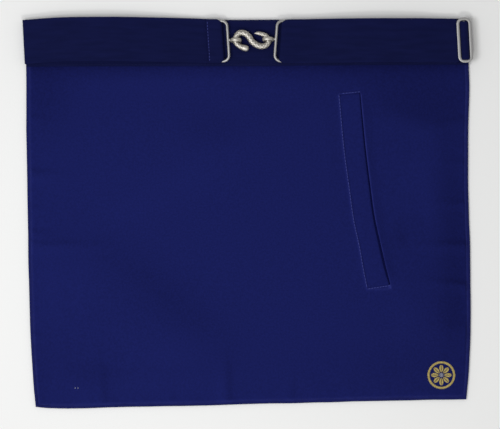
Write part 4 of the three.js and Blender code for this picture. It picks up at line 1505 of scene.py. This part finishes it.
@dataclass
class Belt:
    """The waistband and the two folded straps with their stitches."""

    workshop: Workshop
    cloth: ApronCloth
    width: float = 40.2
    thickness: float = 1.1
    wall: Wall = Wall(0.98, 0, 0.3)
    gap: float = 0.3
    root: float = 26.0
    tail: float = 12.2
    threaded: float = 33.4
    taper: float = 4.5
    bow: float = 1.4
    left_arch: float = 5.5
    right_arch: float = 4.9
    wire: float = 2.4
    loop_reach: float = 8.65
    clasp_x: float = 3.6
    clasp_span: float = 43.5
    left_slack: float = 1.7
    right_slack: float = 2.3
    top_to_middle: float = 19.0
    fold_overhang: float = 1.4
    # The band is a little narrower than its packed box, because the waist edge dips
    band_dip: float = 0.0052
    slide_width: float = 13.8
    slide_side: float = 3.0
    slide_bar: float = 2.0
    slide_thickness: float = 2.0
    slide_end: float = 2.7
    selvedge: Band = Band(0.1, 1.2, 0.8)
    selvedge_lines: tuple[float, ...] = (0.001, 0.3, 0.8, 1.6)
    # How far along a strap, its rise, bow and parting as shares, and the lean of its weft
    left_rows: Table = Table(
        "along rise bow lean",
        (0, 0.49, -0.9, 3), (0.08, 0.62, -0.1, 2.4), (0.17, 0.86, 0.6, 1), (0.3, 1, 0.9, 0),
        (0.45, 1.04, 0.95, 0), (0.6, 0.8, 0.75, 0), (0.75, 0.38, 0.45, 0.6), (0.87, 0.08, 0.1, 2.2),
        (0.94, 0, -0.2, 3.8), (1, 0, -0.4, 3.8),
    )
    right_rows: Table = Table(
        "along rise bow lean part",
        (0, 0, -0.6, -4.3, 1), (0.05, 0, -0.55, -4.3, 0.7), (0.12, 0.1, -0.45, -2.4, 0.25),
        (0.2, 0.32, -0.3, -0.6, 0.05), (0.35, 0.72, -0.1, 0, 0), (0.5, 0.97, 0.05, 0, 0),
        (0.65, 1, 0.1, 0.2, 0), (0.8, 0.76, 0.1, 1.2, 0), (0.93, 0.38, 0, 2.8, 0),
        (1, 0.29, -0.1, 3.2, 0),
    )

    def __post_init__(self) -> None:
        """Takes the places of the clasp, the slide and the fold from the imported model."""
        outline = self.cloth.outline
        self.band_low, self.band_high = box_mm("waistband")
        self.band = self.band_high.y - self.band_low.y - outline.height * self.band_dip
        self.rest = self.band_high.z + self.gap + self.thickness / 2
        self.step = self.thickness + self.gap
        self.wire_fold = self.wire / 2 + self.gap + self.thickness / 2
        self.loop_z = self.rest + self.wire_fold
        self.slide_z = self.rest + 2 * self.step + self.thickness / 2 + self.gap + self.slide_thickness / 2
        self.left_wrap = self.clasp_x - self.clasp_span / 2 - self.loop_reach + self.left_slack
        self.right_wrap = self.clasp_x + self.clasp_span / 2 + self.loop_reach - self.right_slack
        self.slide_low, self.slide_high = box_mm("slide_adjuster")
        self.slide_x = (self.slide_low.x + self.slide_high.x) / 2
        self.middle_y = outline.height / 2 - self.top_to_middle
        self.left_fold = -outline.width / 2 - self.fold_overhang
        self.left_start = self.left_fold + self.thickness + 0.8
        self.slide_start = self.slide_x - self.slide_width / 2 - self.step

    def drawn_in(self, x: float, at: float, narrow: float) -> float:
        """Gives the strap's width near a loop that it is drawn in to pass through."""
        return lerp(narrow, self.width, math.sqrt(smoothstep(abs(x - at), 0, self.taper)))

    def left_at(self, x: float, column: str) -> float:
        """Reads the left strap's table at an X."""
        return self.left_rows.at((x - self.left_start) / (self.left_wrap - self.left_start), column)

    def right_share(self, x: float) -> float:
        """Gives how far along the right strap an X lies."""
        return clamp((x - self.right_wrap) / (self.slide_start - self.right_wrap))

    def right_at(self, x: float, column: str) -> float:
        """Reads the right strap's table at an X."""
        return self.right_rows.at(self.right_share(x), column)

    def strip(
        self, name: str, points: Sequence[Point2], width: Curve, middle: Curve, lean: Curve
    ) -> Piece:
        """Makes a strip of webbing along an upright path.

        Args:
            name: The piece's name.
            points: The path's points.
            width: Gives the width at an X.
            middle: Gives the middle line's Y at an X.
            lean: Gives the weft's lean in degrees at an X.

        Returns:
            The piece, with a map in real size along and across it.
        """
        travelled = running(points)
        index = {distance: i for i, distance in enumerate(travelled)}
        edge = self.selvedge_lines
        rows = [(share - 0.5) * self.width for share in spread(self.width, 1.8, edge, edge)]

        def place(distance: float, aside: float) -> Vector:
            """Gives a place on the strip for a distance along it and one across it.

            Args:
                distance: The distance along.
                aside: The distance across.

            Returns:
                The place.
            """
            i = index[distance]
            x, z = points[i]
            before, after = points[max(i - 1, 0)], points[min(i + 1, len(points) - 1)]
            run = math.dist(before, after)
            normal = Vector((-(after[1] - before[1]) / run, 0, (after[0] - before[0]) / run))
            angle = math.radians(lean(x))
            across = Vector((-math.sin(angle), math.cos(angle), 0))
            share = aside / self.width
            selvedge = self.selvedge.at((0.5 - abs(share)) * self.width)
            dimple = 0.07 * uneven(distance / 12, aside / 9, 4.4)
            return Vector((x, middle(x), z)) + across * share * width(x) + normal * (selvedge + dimple)

        mesh = shaped_grid(travelled, rows, place)
        bmesh.ops.recalc_face_normals(mesh, faces=mesh.faces)
        return self.workshop.cut(mesh, name, Finish.WEBBING, self.wall)

    def waistband(self) -> None:
        """Makes the band that is sewn across the top of the lining."""
        z = (self.band_low.z + self.band_high.z) / 2
        path = UprightPath(self.band_low.x, z)
        path.line_to(self.band_high.x, z, 3.0)
        piece = self.strip(
            "waistband_strip",
            path.points,
            width=lambda x: self.band,
            middle=lambda x: self.cloth.outline.top_over(x) - self.band / 2,
            lean=lambda x: 0.0,
        )
        self.workshop.enter(piece, "webbing", "waistband")

    def left_height(self, x: float) -> float:
        """Gives the height of the left strap's middle."""
        return self.rest + self.left_arch * self.left_at(x, "rise")

    def left_middle(self, x: float) -> float:
        """Gives the Y of the left strap's middle."""
        return self.middle_y + self.bow * self.left_at(x, "bow")

    def left_strap(self) -> None:
        """Makes the strap that folds at the left edge and turns round the left loop."""
        turn = self.left_height(self.left_start) / 2 - self.rest / 2
        fold = self.left_fold + self.thickness / 2 + turn
        wrap, over = self.left_wrap, self.loop_z + self.wire_fold

        def tail_height(x: float) -> float:
            """Gives the height of the turned end, which settles onto the strap."""
            return lerp(over, self.left_height(x) + self.step, smoothstep(wrap - x, 0, self.tail))

        path = UprightPath(fold + self.root, self.rest)
        path.line_to(fold, self.rest)
        path.arc(fold, self.rest + turn, turn, -90, -270)
        path.run(fold, wrap, 66, self.left_height)
        path.arc(wrap, self.loop_z, self.wire_fold, -90, 90)
        path.run(wrap, wrap - self.tail, 6, tail_height)
        piece = self.strip(
            "left_belt_strap",
            path.points,
            width=lambda x: self.drawn_in(x, wrap + self.wire_fold, self.threaded),
            middle=self.left_middle,
            lean=lambda x: self.left_at(x, "lean"),
        )
        self.workshop.enter(piece, "webbing", "left_strap")

    def right_path(self) -> UprightPath:
        """Follows the right strap from its end on the slide's bar to its root under the fold.

        Returns:
            The path.
        """
        half = self.thickness / 2
        under = self.slide_thickness / 2 + self.gap + half
        wrap = self.slide_bar / 2 + self.gap + half
        inner = self.slide_width / 2 - self.slide_side
        x, z = self.slide_x, self.slide_z
        lower_end = z - under - self.step - self.rest

        def lower(at: float) -> float:
            """Gives the height of the lower layer."""
            settled = smoothstep(self.right_share(at), 0.8, 1)
            return self.rest + lerp(self.right_arch * self.right_at(at, "rise"), lower_end, settled)

        def upper(at: float) -> float:
            """Gives the height of the upper layer, which parts from the lower one at the loop."""
            return lower(at) + lerp(self.step, 2 * self.wire_fold, self.right_at(at, "part"))

        path = UprightPath(*on_circle(x, z, wrap, 130))
        path.arc(x, z, wrap, 130, -90, 16)
        for aside, share in ((0.3, 0.15), (0.55, 0.55), (0.8, 0.9), (1.0, 1.0)):
            path.points.append((x - aside * inner, z - lerp(wrap, under + self.step, share)))
        path.run(self.slide_start, self.right_wrap, 58, lower, first=0)
        path.arc(self.right_wrap, self.loop_z, self.wire_fold, -90, -270)
        path.run(self.right_wrap, self.slide_start, 58, upper)
        path.line_to(x - inner, z - under, 1.2)
        path.arc(x - inner, z - self.slide_thickness / 2, self.gap + half, -90, 0, 6)
        path.arc(x, z, wrap + self.step, 180, 0, 16)
        # The fold at the edge drops from the slide to the waistband, bulging past it on the way
        drop, edge = z - self.rest, x + wrap + self.step
        bulge = 0.3 * drop
        shoulder, belly = (edge, z - 0.35 * drop), (edge + 1.2 * bulge, z - 0.45 * drop)
        path.curve_to(shoulder, belly, (edge + 0.8 * bulge, z - 0.7 * drop))
        path.curve_to((edge + 0.6 * bulge, z - 0.9 * drop), (edge, self.rest), (edge - bulge, self.rest))
        path.line_to(edge - self.root, self.rest)
        return path

    def right_strap(self) -> None:
        """Makes the strap that runs through the right loop, back to the slide and through it."""
        inner = self.slide_width / 2 - self.slide_side
        opening = self.slide_high.y - self.slide_low.y - 2 * self.slide_end
        in_slide = opening - 2 * self.gap - 0.4
        loop_x = self.right_wrap - self.wire_fold

        def width(x: float) -> float:
            """Gives the width, drawn in at the loop and at the slide."""
            off_slide = smoothstep(self.slide_x - x, inner, inner + self.slide_side + self.step)
            return min(self.drawn_in(x, loop_x, self.threaded), lerp(in_slide, self.width, off_slide))

        piece = self.strip(
            "right_belt_strap",
            self.right_path().points,
            width=width,
            middle=lambda x: self.middle_y + self.bow * self.right_at(x, "bow"),
            lean=lambda x: self.right_at(x, "lean"),
        )
        self.workshop.enter(piece, "webbing", "right_strap")

    def band_stitches(self) -> None:
        """Sews the waistband down along both its edges."""
        row = StitchRow("waistband_stitches", Finish.BAND_THREAD, "webbing", thread=0.4)
        steps, end, inside = 600, 1.0, 1.6
        places = [lerp(self.band_low.x + end, self.band_high.x - end, i / steps) for i in range(steps + 1)]
        z = self.band_high.z + 0.02
        stitches = []
        for depth in (inside, self.band - inside):
            line = [Vector((x, self.cloth.outline.top_over(x) - depth, z)) for x in places]
            stitches += row.along(line)
        row.sew(self.workshop, stitches)

    def tail_stitches(self) -> None:
        """Sews the turned end of the left strap down, near its cut edge."""
        row = StitchRow("strap_end_stitches", Finish.PALE_THREAD, "webbing", thread=0.5, pitch=2.7, gap=0.6)
        x = self.left_wrap - self.tail + 1.3
        z = self.left_height(x) + self.step + self.thickness / 2 + self.cloth.thread_lift
        angle = math.radians(self.left_at(x, "lean"))
        weft = Vector((-math.sin(angle), math.cos(angle), 0))
        middle = Vector((x, self.left_middle(x), z))
        line = [middle + weft * lerp(-0.46, 0.46, i / 119) * self.width for i in range(120)]
        row.sew(self.workshop, row.along(line))

    def build(self) -> None:
        """Makes every piece of the belt."""
        self.waistband()
        self.left_strap()
        self.right_strap()
        self.band_stitches()
        self.tail_stitches()


# Metal


class Side(Enum):
    """Which side of the clasp a loop is on; the value turns its shape to face the hook."""

    LEFT = 1
    RIGHT = -1


@dataclass(frozen=True)
class LoopShape:
    """What differs between the two wire loops."""

    side: Side
    name: str
    node: str
    lean: float
    eye_rise: float


@dataclass
class Clasp:
    """The snake hook and the two wire loops that it joins."""

    workshop: Workshop
    belt: Belt
    loop_height: float = 39.4
    loop_lift: float = 1.6
    outer_corner: float = 5.4
    inner_corner: float = 2.6
    wire: float = 2.6
    wire_sides: int = 20
    eye_wire: float = 2.2
    eye_band: float = 1.8
    eye_length: float = 10.8
    eye_height: float = 9.2
    eye_tilt: float = 12.0
    eye_span: float = 29.2
    stem_share: float = 0.9
    skin_cell: float = 0.2
    skin_smoothing: int = 3
    hook_length: float = 35.0
    hook_spread: float = 19.0
    hook_body: float = 5.8
    hook_flatness: float = 0.72
    hook_rest: float = 0.86
    scale_pitch: float = 1.7
    scales_around: int = 10
    scale_relief: float = 0.26
    samples: int = 400
    # From the head to the tail: shares of the length, the spread and the body's girth
    snake_rows: Table = Table(
        "order along across girth",
        (0, -0.075, -0.395, 0.5), (1, -0.11, -0.385, 0.84), (2, -0.186, -0.358, 1.0),
        (3, -0.277, -0.305, 0.88), (4, -0.371, -0.2, 0.8), (5, -0.423, -0.058, 0.82),
        (6, -0.423, 0.111, 0.86), (7, -0.389, 0.263, 0.89), (8, -0.326, 0.358, 0.91),
        (9, -0.243, 0.368, 0.94), (10, -0.151, 0.305, 0.98), (11, -0.069, 0.158, 1.0),
        (12, 0, -0.037, 1.0), (13, 0.083, -0.163, 1.0), (14, 0.174, -0.253, 1.0),
        (15, 0.28, -0.274, 0.97), (16, 0.371, -0.211, 0.92), (17, 0.423, -0.079, 0.86),
        (18, 0.414, 0.089, 0.82), (19, 0.349, 0.242, 0.76), (20, 0.243, 0.316, 0.66),
        (21, 0.151, 0.347, 0.54), (22, 0.06, 0.347, 0.26),
    )

    def loop(self, shape: LoopShape) -> None:
        """Makes a wire loop with its eye soldered on, as one skin.

        Args:
            shape: The side, name, lean and eye place of the loop.
        """
        belt, facing = self.belt, shape.side.value
        half = (self.loop_height - self.wire) / 2
        outer, inner, reach = self.outer_corner, self.inner_corner, belt.loop_reach
        corners = (
            (reach - outer, half - outer),
            (inner, half - inner),
            (inner, inner - half),
            (reach - outer, outer - half),
        )
        route = rounded_box(corners, (outer, inner, inner, outer), 160)
        cos, sin = math.cos(math.radians(shape.lean)), math.sin(math.radians(shape.lean))
        wrap = belt.clasp_x - facing * (belt.clasp_span / 2 + reach)
        base_y = belt.middle_y - belt.bow / 2
        eye_y = belt.middle_y + shape.eye_rise

        def place(x: float, y: float) -> Vector:
            """Gives the place of a point of the flat loop."""
            turned = (wrap + facing * x * cos - y * sin, base_y + y * cos + facing * x * sin)
            return Vector((*turned, belt.loop_z + self.loop_lift * x / reach))

        def frame_line(share: float) -> Vector:
            """Follows the wire's middle."""
            return place(*route[round(share * len(route)) % len(route)])

        def frame_radii(share: float, turn: float) -> Point2:
            """Gives the round wire's radii."""
            return self.wire / 2, self.wire / 2

        tilt = math.radians(self.eye_tilt)
        rise = Vector((0, math.sin(tilt), math.cos(tilt)))
        axis = Vector((0, math.cos(tilt), -math.sin(tilt)))
        eye_z = belt.band_high.z + belt.gap + self.eye_height / 2
        centre = Vector((belt.clasp_x - facing * self.eye_span / 2, eye_y, eye_z))
        long, high = (self.eye_length - self.eye_wire) / 2, (self.eye_height - self.eye_wire) / 2
        ring = self.eye_wire / 2
        thin = self.stem_share * ring

        def eye_line(share: float) -> Vector:
            """Follows the eye's middle."""
            turn = TAU * share
            return centre + rise * high * math.sin(turn) + Vector((long * math.cos(turn), 0, 0))

        start, end = place(reach, eye_y - base_y), centre - Vector((facing * long, 0, 0))
        sides = self.wire_sides
        bodies = (
            tube(frame_line, frame_radii, UP, len(route), sides, closed=True),
            tube(eye_line, lambda share, turn: (ring, self.eye_band), axis, 64, sides, closed=True),
            tube(lambda share: start.lerp(end, share), lambda share, turn: (thin, thin), UP, 6, 12),
        )
        piece = self.workshop.shape(joined(bodies), shape.name, Finish.WIRE_NICKEL, Finish.CAST_NICKEL)
        fused(piece, self.skin_cell, self.skin_smoothing)
        # The eye takes the brighter cast finish, partly as a painted highlight that lifts the tilted eye's
        # dim shading
        for face in piece.data.polygons:
            face.material_index = int((face.center / MM - centre).length < self.eye_length / 2 + 0.4)
        self.workshop.enter(piece, "nickel", shape.node)

    def snake_at(self, share: float) -> Vector:
        """Gives the snake's middle at a share of its rows.

        Args:
            share: The share.

        Returns:
            The point in millimetres.
        """
        belt, at = self.belt, share * (len(self.snake_rows.spots) - 1)
        x = belt.clasp_x + self.snake_rows.at(at, "along") * self.hook_length
        y = belt.middle_y + self.snake_rows.at(at, "across") * self.hook_spread
        lift = belt.gap + self.eye_wire + belt.gap
        sunk = self.hook_rest * self.hook_body * self.hook_flatness / 2
        return Vector((x, y, belt.band_high.z + lift + sunk))

    @cached_property
    def snake_lengths(self) -> list[float]:
        """How far along the snake each of its samples lies."""
        return running([self.snake_at(i / self.samples) for i in range(self.samples + 1)])

    def hollow_at(self, share: float, turn: float) -> float:
        """Gives 0 on a scale's crown and 1 in the groove between scales.

        Args:
            share: The place along the snake.
            turn: The turn round it, in radians.

        Returns:
            The hollow there, nought on the head, the tail's tip and the belly.
        """
        distance = self.snake_lengths[min(round(share * self.samples), self.samples)]
        along, around = distance / (2 * self.scale_pitch), self.scales_around * turn / (2 * TAU)
        ridge = abs(math.sin(math.pi * (along + around))) * abs(math.sin(math.pi * (along - around)))
        off_head = smoothstep(distance, 4.2, 6.5)
        off_tail = smoothstep(self.snake_lengths[-1] - distance, 1.0, 5.0)
        belly = smoothstep(-math.sin(turn), 0.2, 0.9)
        return (1 - min(ridge**0.5 * 1.25, 1)) * off_head * off_tail * (1 - belly)

    def snake_radii(self, share: float, turn: float) -> Point2:
        """Gives the snake's half width and half height.

        Args:
            share: The place along the snake.
            turn: The turn round it, in radians.

        Returns:
            Both, with its round ends and its scales cut in.
        """
        distance = self.snake_lengths[min(round(share * self.samples), self.samples)]
        at = share * (len(self.snake_rows.spots) - 1)
        girth = self.snake_rows.at(at, "girth") * self.hook_body / 2
        nose, tip = 1.3, 2.2
        cap = math.sqrt(min(distance / nose, (self.snake_lengths[-1] - distance) / tip, 1.0))
        radius = girth * max(cap, 0.0)
        radius -= self.scale_relief * self.hollow_at(share, turn) * min(radius / 1.5, 1)
        return radius, radius * self.hook_flatness

    def snake(self) -> None:
        """Makes the S-shaped snake with its scales, flat head, eyes and pointed tail."""
        mesh = tube(self.snake_at, self.snake_radii, UP, 330, 54)
        hollow = mesh.verts.layers.float.new("hollow")
        uv = mesh.loops.layers.uv["weave"]
        for face in mesh.faces:
            for loop in face.loops:
                loop.vert[hollow] = 0.75 * self.hollow_at(*(loop[uv].uv / MM)) ** 1.3
        bodies = [mesh]
        heading = (self.snake_at(0.03) - self.snake_at(0.12)).normalized()
        for side in (1.35, -1.35):
            spot = self.snake_at(0.075) + heading.cross(UP) * side + UP * 1.25
            eye, place = bmesh.new(), Matrix.Translation(spot)
            bmesh.ops.create_uvsphere(eye, u_segments=16, v_segments=10, radius=0.5, matrix=place)
            bodies.append(eye)
        piece = self.workshop.shape(joined(bodies), "snake_clasp", Finish.CAST_NICKEL)
        self.workshop.enter(piece, "nickel", "snake_hook")

    def build(self) -> None:
        """Makes both loops and the snake."""
        self.loop(LoopShape(Side.LEFT, "left_wire_loop", "left_clasp_loop", 3.8, 0.2))
        self.loop(LoopShape(Side.RIGHT, "right_wire_loop", "right_clasp_loop", -4.3, 1.0))
        self.snake()


@dataclass
class SlideBuckle:
    """The flat slide: a rounded frame with a bar across its middle."""

    workshop: Workshop
    belt: Belt
    length: float = 40.9
    corner: float = 5.8
    lean: float = 3.2
    squareness: float = 3.6
    bar_drop: float = 0.3
    bar_flatness: float = 0.92
    skin_cell: float = 0.2
    skin_smoothing: int = 2

    def boxy(self, wide: float, tall: float) -> Radii:
        """Makes an oval squarer, as a flattened bar is.

        Args:
            wide: Its half width.
            tall: Its half height.

        Returns:
            Its radii for a share and a turn.
        """
        power = self.squareness

        def radii(share: float, turn: float) -> Point2:
            """Gives the radii, fuller towards the four corners."""
            fuller = (abs(math.cos(turn)) ** power + abs(math.sin(turn)) ** power) ** (-1 / power)
            return wide * fuller, tall * fuller

        return radii

    def build(self) -> None:
        """Makes the slide as one cast skin."""
        belt = self.belt
        middle = (belt.slide_low + belt.slide_high) / 2
        side, thick = belt.slide_side, belt.slide_thickness
        half_x, half_y = (belt.slide_width - side) / 2, (self.length - belt.slide_end) / 2
        radius = self.corner - side / 2
        x, y = half_x - radius, half_y - radius
        route = rounded_box(((x, y), (-x, y), (-x, -y), (x, -y)), (radius,) * 4, 160)
        turn = Matrix.Rotation(math.radians(self.lean), 3, "Z")

        def frame_line(share: float) -> Vector:
            """Follows the frame's middle."""
            return middle + turn @ Vector((*route[round(share * len(route)) % len(route)], 0))

        rim = tube(frame_line, self.boxy(side / 2, thick / 2), UP, len(route), 28, closed=True)
        start, end = (middle + turn @ Vector((0, y, -self.bar_drop)) for y in (-half_y, half_y))
        bar_radii = self.boxy(belt.slide_bar / 2, self.bar_flatness * belt.slide_bar / 2)
        bar = tube(lambda share: start.lerp(end, share), bar_radii, UP, 60, 24)
        piece = self.workshop.shape(joined((rim, bar)), "slide_frame", Finish.WIRE_NICKEL)
        fused(piece, self.skin_cell, self.skin_smoothing)
        self.workshop.enter(piece, "nickel", "slide_adjuster")


# Embroidery


@dataclass
class Rosette:
    """An eight-petalled rosette in satin stitch, inside a ring of short stitches."""

    workshop: Workshop
    cloth: ApronCloth
    petals: int = 8
    petal_start: float = 2.4
    petal_half: float = 2.05
    petal_gap: float = 0.9
    ring_width: float = 2.4
    thread: float = 0.42
    ragged: float = 0.12
    knot: float = 0.42
    knot_radius: float = 1.9
    seed: int = 11

    def __post_init__(self) -> None:
        """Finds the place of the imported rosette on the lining."""
        low, high = box_mm("corner_rosette")
        centre = (low + high) / 2
        self.radius = (high.x - low.x) / 2 - 0.15
        self.base = Vector((centre.x, centre.y, self.cloth.surface(centre.x, centre.y) + 0.1))
        self.draw = random.Random(self.seed)

    def build(self) -> None:
        """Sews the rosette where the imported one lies."""
        mesh = bmesh.new()
        self.ring(mesh)
        for i in range(self.petals):
            self.petal(mesh, TAU * i / self.petals)
        gold_faces = len(mesh.faces)
        self.knots(mesh)
        mesh.faces.ensure_lookup_table()
        for face in mesh.faces[gold_faces:]:
            face.material_index = 1
        finishes = (Finish.GOLD_THREAD, Finish.SILVER_THREAD)
        piece = self.workshop.shape(mesh, "rosette_embroidery", *finishes)
        self.workshop.enter(piece, "gold_thread", "corner_rosette")

    def lay(self, mesh: Mesh, start: Vector, end: Vector, arch: float) -> None:
        """Lays one thread over the cloth, a little higher in its middle.

        Args:
            mesh: The mesh that takes it.
            start, end: Its two ends.
            arch: How much higher its middle stands.
        """
        run = end - start
        stitch, height = Stitch((start + end) / 2, run.normalized(), run.length), self.thread + 2 * arch
        stitch.lay(mesh, self.thread, height)

    def ring(self, mesh: Mesh) -> None:
        """Sews the ring of radial stitches.

        Args:
            mesh: The mesh that takes the stitches.
        """
        count = round(TAU * (self.radius - self.ring_width / 2) / (self.thread * 0.92))
        for i in range(count):
            out = Vector((*on_circle(0, 0, 1, 360 * i / count), 0))
            reach = self.radius + self.draw.uniform(-self.ragged, self.ragged)
            inner = self.radius - self.ring_width + self.draw.uniform(-self.ragged, self.ragged)
            self.lay(mesh, self.base + out * inner, self.base + out * reach, 0.12)

    def petal(self, mesh: Mesh, angle: float) -> None:
        """Sews a petal with slanting stitches that meet along its middle.

        Args:
            mesh: The mesh that takes the stitches.
            angle: The way that the petal points, in radians.
        """
        out = Vector((math.cos(angle), math.sin(angle), 0))
        aside = Vector((-out.y, out.x, 0))
        length = self.radius - self.ring_width - self.petal_gap - self.petal_start
        count = round(length / (self.thread * 0.95))
        for i in range(count):
            share = (i + 0.5) / count
            place = self.petal_start + share * length
            half = self.petal_half * math.sin(math.pi * share**0.8) ** 0.75
            if half < 0.35:
                continue
            for sign in (1, -1):
                wide = half + self.draw.uniform(-0.08, 0.08)
                tip = self.base + out * (place + 0.55 * half) + aside * sign * wide
                root = self.base + out * (place - 0.1) + aside * sign * 0.08
                self.lay(mesh, root, tip, 0.16)

    def knots(self, mesh: Mesh) -> None:
        """Sews the cluster of small knots in the middle.

        Args:
            mesh: The mesh that takes the knots.
        """
        spots = [(0.0, 0.0)]
        for ring, count in ((0.52, 6), (1.0, 11)):
            reach = ring * self.knot_radius * 0.8
            spots += [on_circle(0, 0, reach, 360 * i / count + 25 * ring) for i in range(count)]
        for x, y in spots:
            lift = 0.18 * (1 - math.hypot(x, y) / self.knot_radius)
            place = Matrix.Translation(self.base + Vector((x, y, lift)))
            bmesh.ops.create_icosphere(mesh, subdivisions=2, radius=self.knot, matrix=place)


# Studio


@dataclass(frozen=True)
class SoftBox:
    """A large soft lamp: where it stands, how wide it is, its power and its tint."""

    name: str
    place: tuple[float, float, float]
    size: float
    power: float
    tint: str


@dataclass(frozen=True)
class Studio:
    """A pale board under the apron, soft light from the lower left and a camera straight above."""

    workshop: Workshop
    view_width: float = 0.45625
    centre: Point2 = (0.001825, -0.00228)
    distance: float = 3.0
    sensor: float = 36.0
    floor_half: float = 6.0
    floor_drop: float = 0.0003
    lamps: tuple[SoftBox, ...] = (
        SoftBox("key_soft_box", (0.02, -0.56, 1.2), 0.22, 3.3, "#fffffd"),
        SoftBox("left_soft_box", (-0.38, -0.02, 0.95), 0.4, 4.15, "#fcfdff"),
    )
    sky: str = "#fdfdfd"
    sky_strength: float = 0.462

    def build(self) -> None:
        """Sets up the floor, the lights and the camera."""
        self.floor()
        self.light()
        self.camera()
        bpy.context.scene.view_settings.view_transform = "Standard"

    def floor(self) -> None:
        """Lays the board, wide enough for every view."""
        mesh = bmesh.new()
        bmesh.ops.create_grid(mesh, x_segments=1, y_segments=1, size=self.floor_half / MM)
        bmesh.ops.translate(mesh, vec=(0, 0, -self.floor_drop / MM), verts=mesh.verts)
        board = self.workshop.shape(mesh, "floor")
        board.data.materials.append(PaintedBoard().make())

    def light(self) -> None:
        """Hangs the soft boxes and sets the room's own light."""
        for lamp in self.lamps:
            data = bpy.data.lights.new(lamp.name, "AREA")
            data.shape = "SQUARE"
            data.size = lamp.size
            data.energy = lamp.power
            data.color = linear_rgb(lamp.tint)[:3]
            made = bpy.data.objects.new(lamp.name, data)
            made.location = lamp.place
            made.rotation_euler = (-Vector(lamp.place)).to_track_quat("-Z", "Y").to_euler()
            bpy.context.scene.collection.objects.link(made)
        world = bpy.data.worlds.new("room")
        world.use_nodes = True
        background = world.node_tree.nodes["Background"]
        background.inputs["Color"].default_value = linear_rgb(self.sky)
        background.inputs["Strength"].default_value = self.sky_strength
        bpy.context.scene.world = world

    def camera(self) -> None:
        """Hangs the camera above the apron, looking straight down."""
        data = bpy.data.cameras.new("camera")
        data.sensor_width = self.sensor
        data.lens = self.sensor * self.distance / self.view_width
        made = bpy.data.objects.new("camera", data)
        made.location = (*self.centre, self.distance)
        bpy.context.scene.collection.objects.link(made)
        bpy.context.scene.camera = made


def main() -> None:
    """Builds the apron from the cloth up."""
    logging.basicConfig(level=logging.INFO, format="%(name)s %(message)s")
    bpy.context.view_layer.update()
    workshop = Workshop()
    Studio(workshop).build()
    cloth = ApronCloth(workshop)
    cloth.build()
    belt = Belt(workshop, cloth)
    belt.build()
    Clasp(workshop, belt).build()
    SlideBuckle(workshop, belt).build()
    Rosette(workshop, cloth).build()


if __name__ == "__main__":
    main()
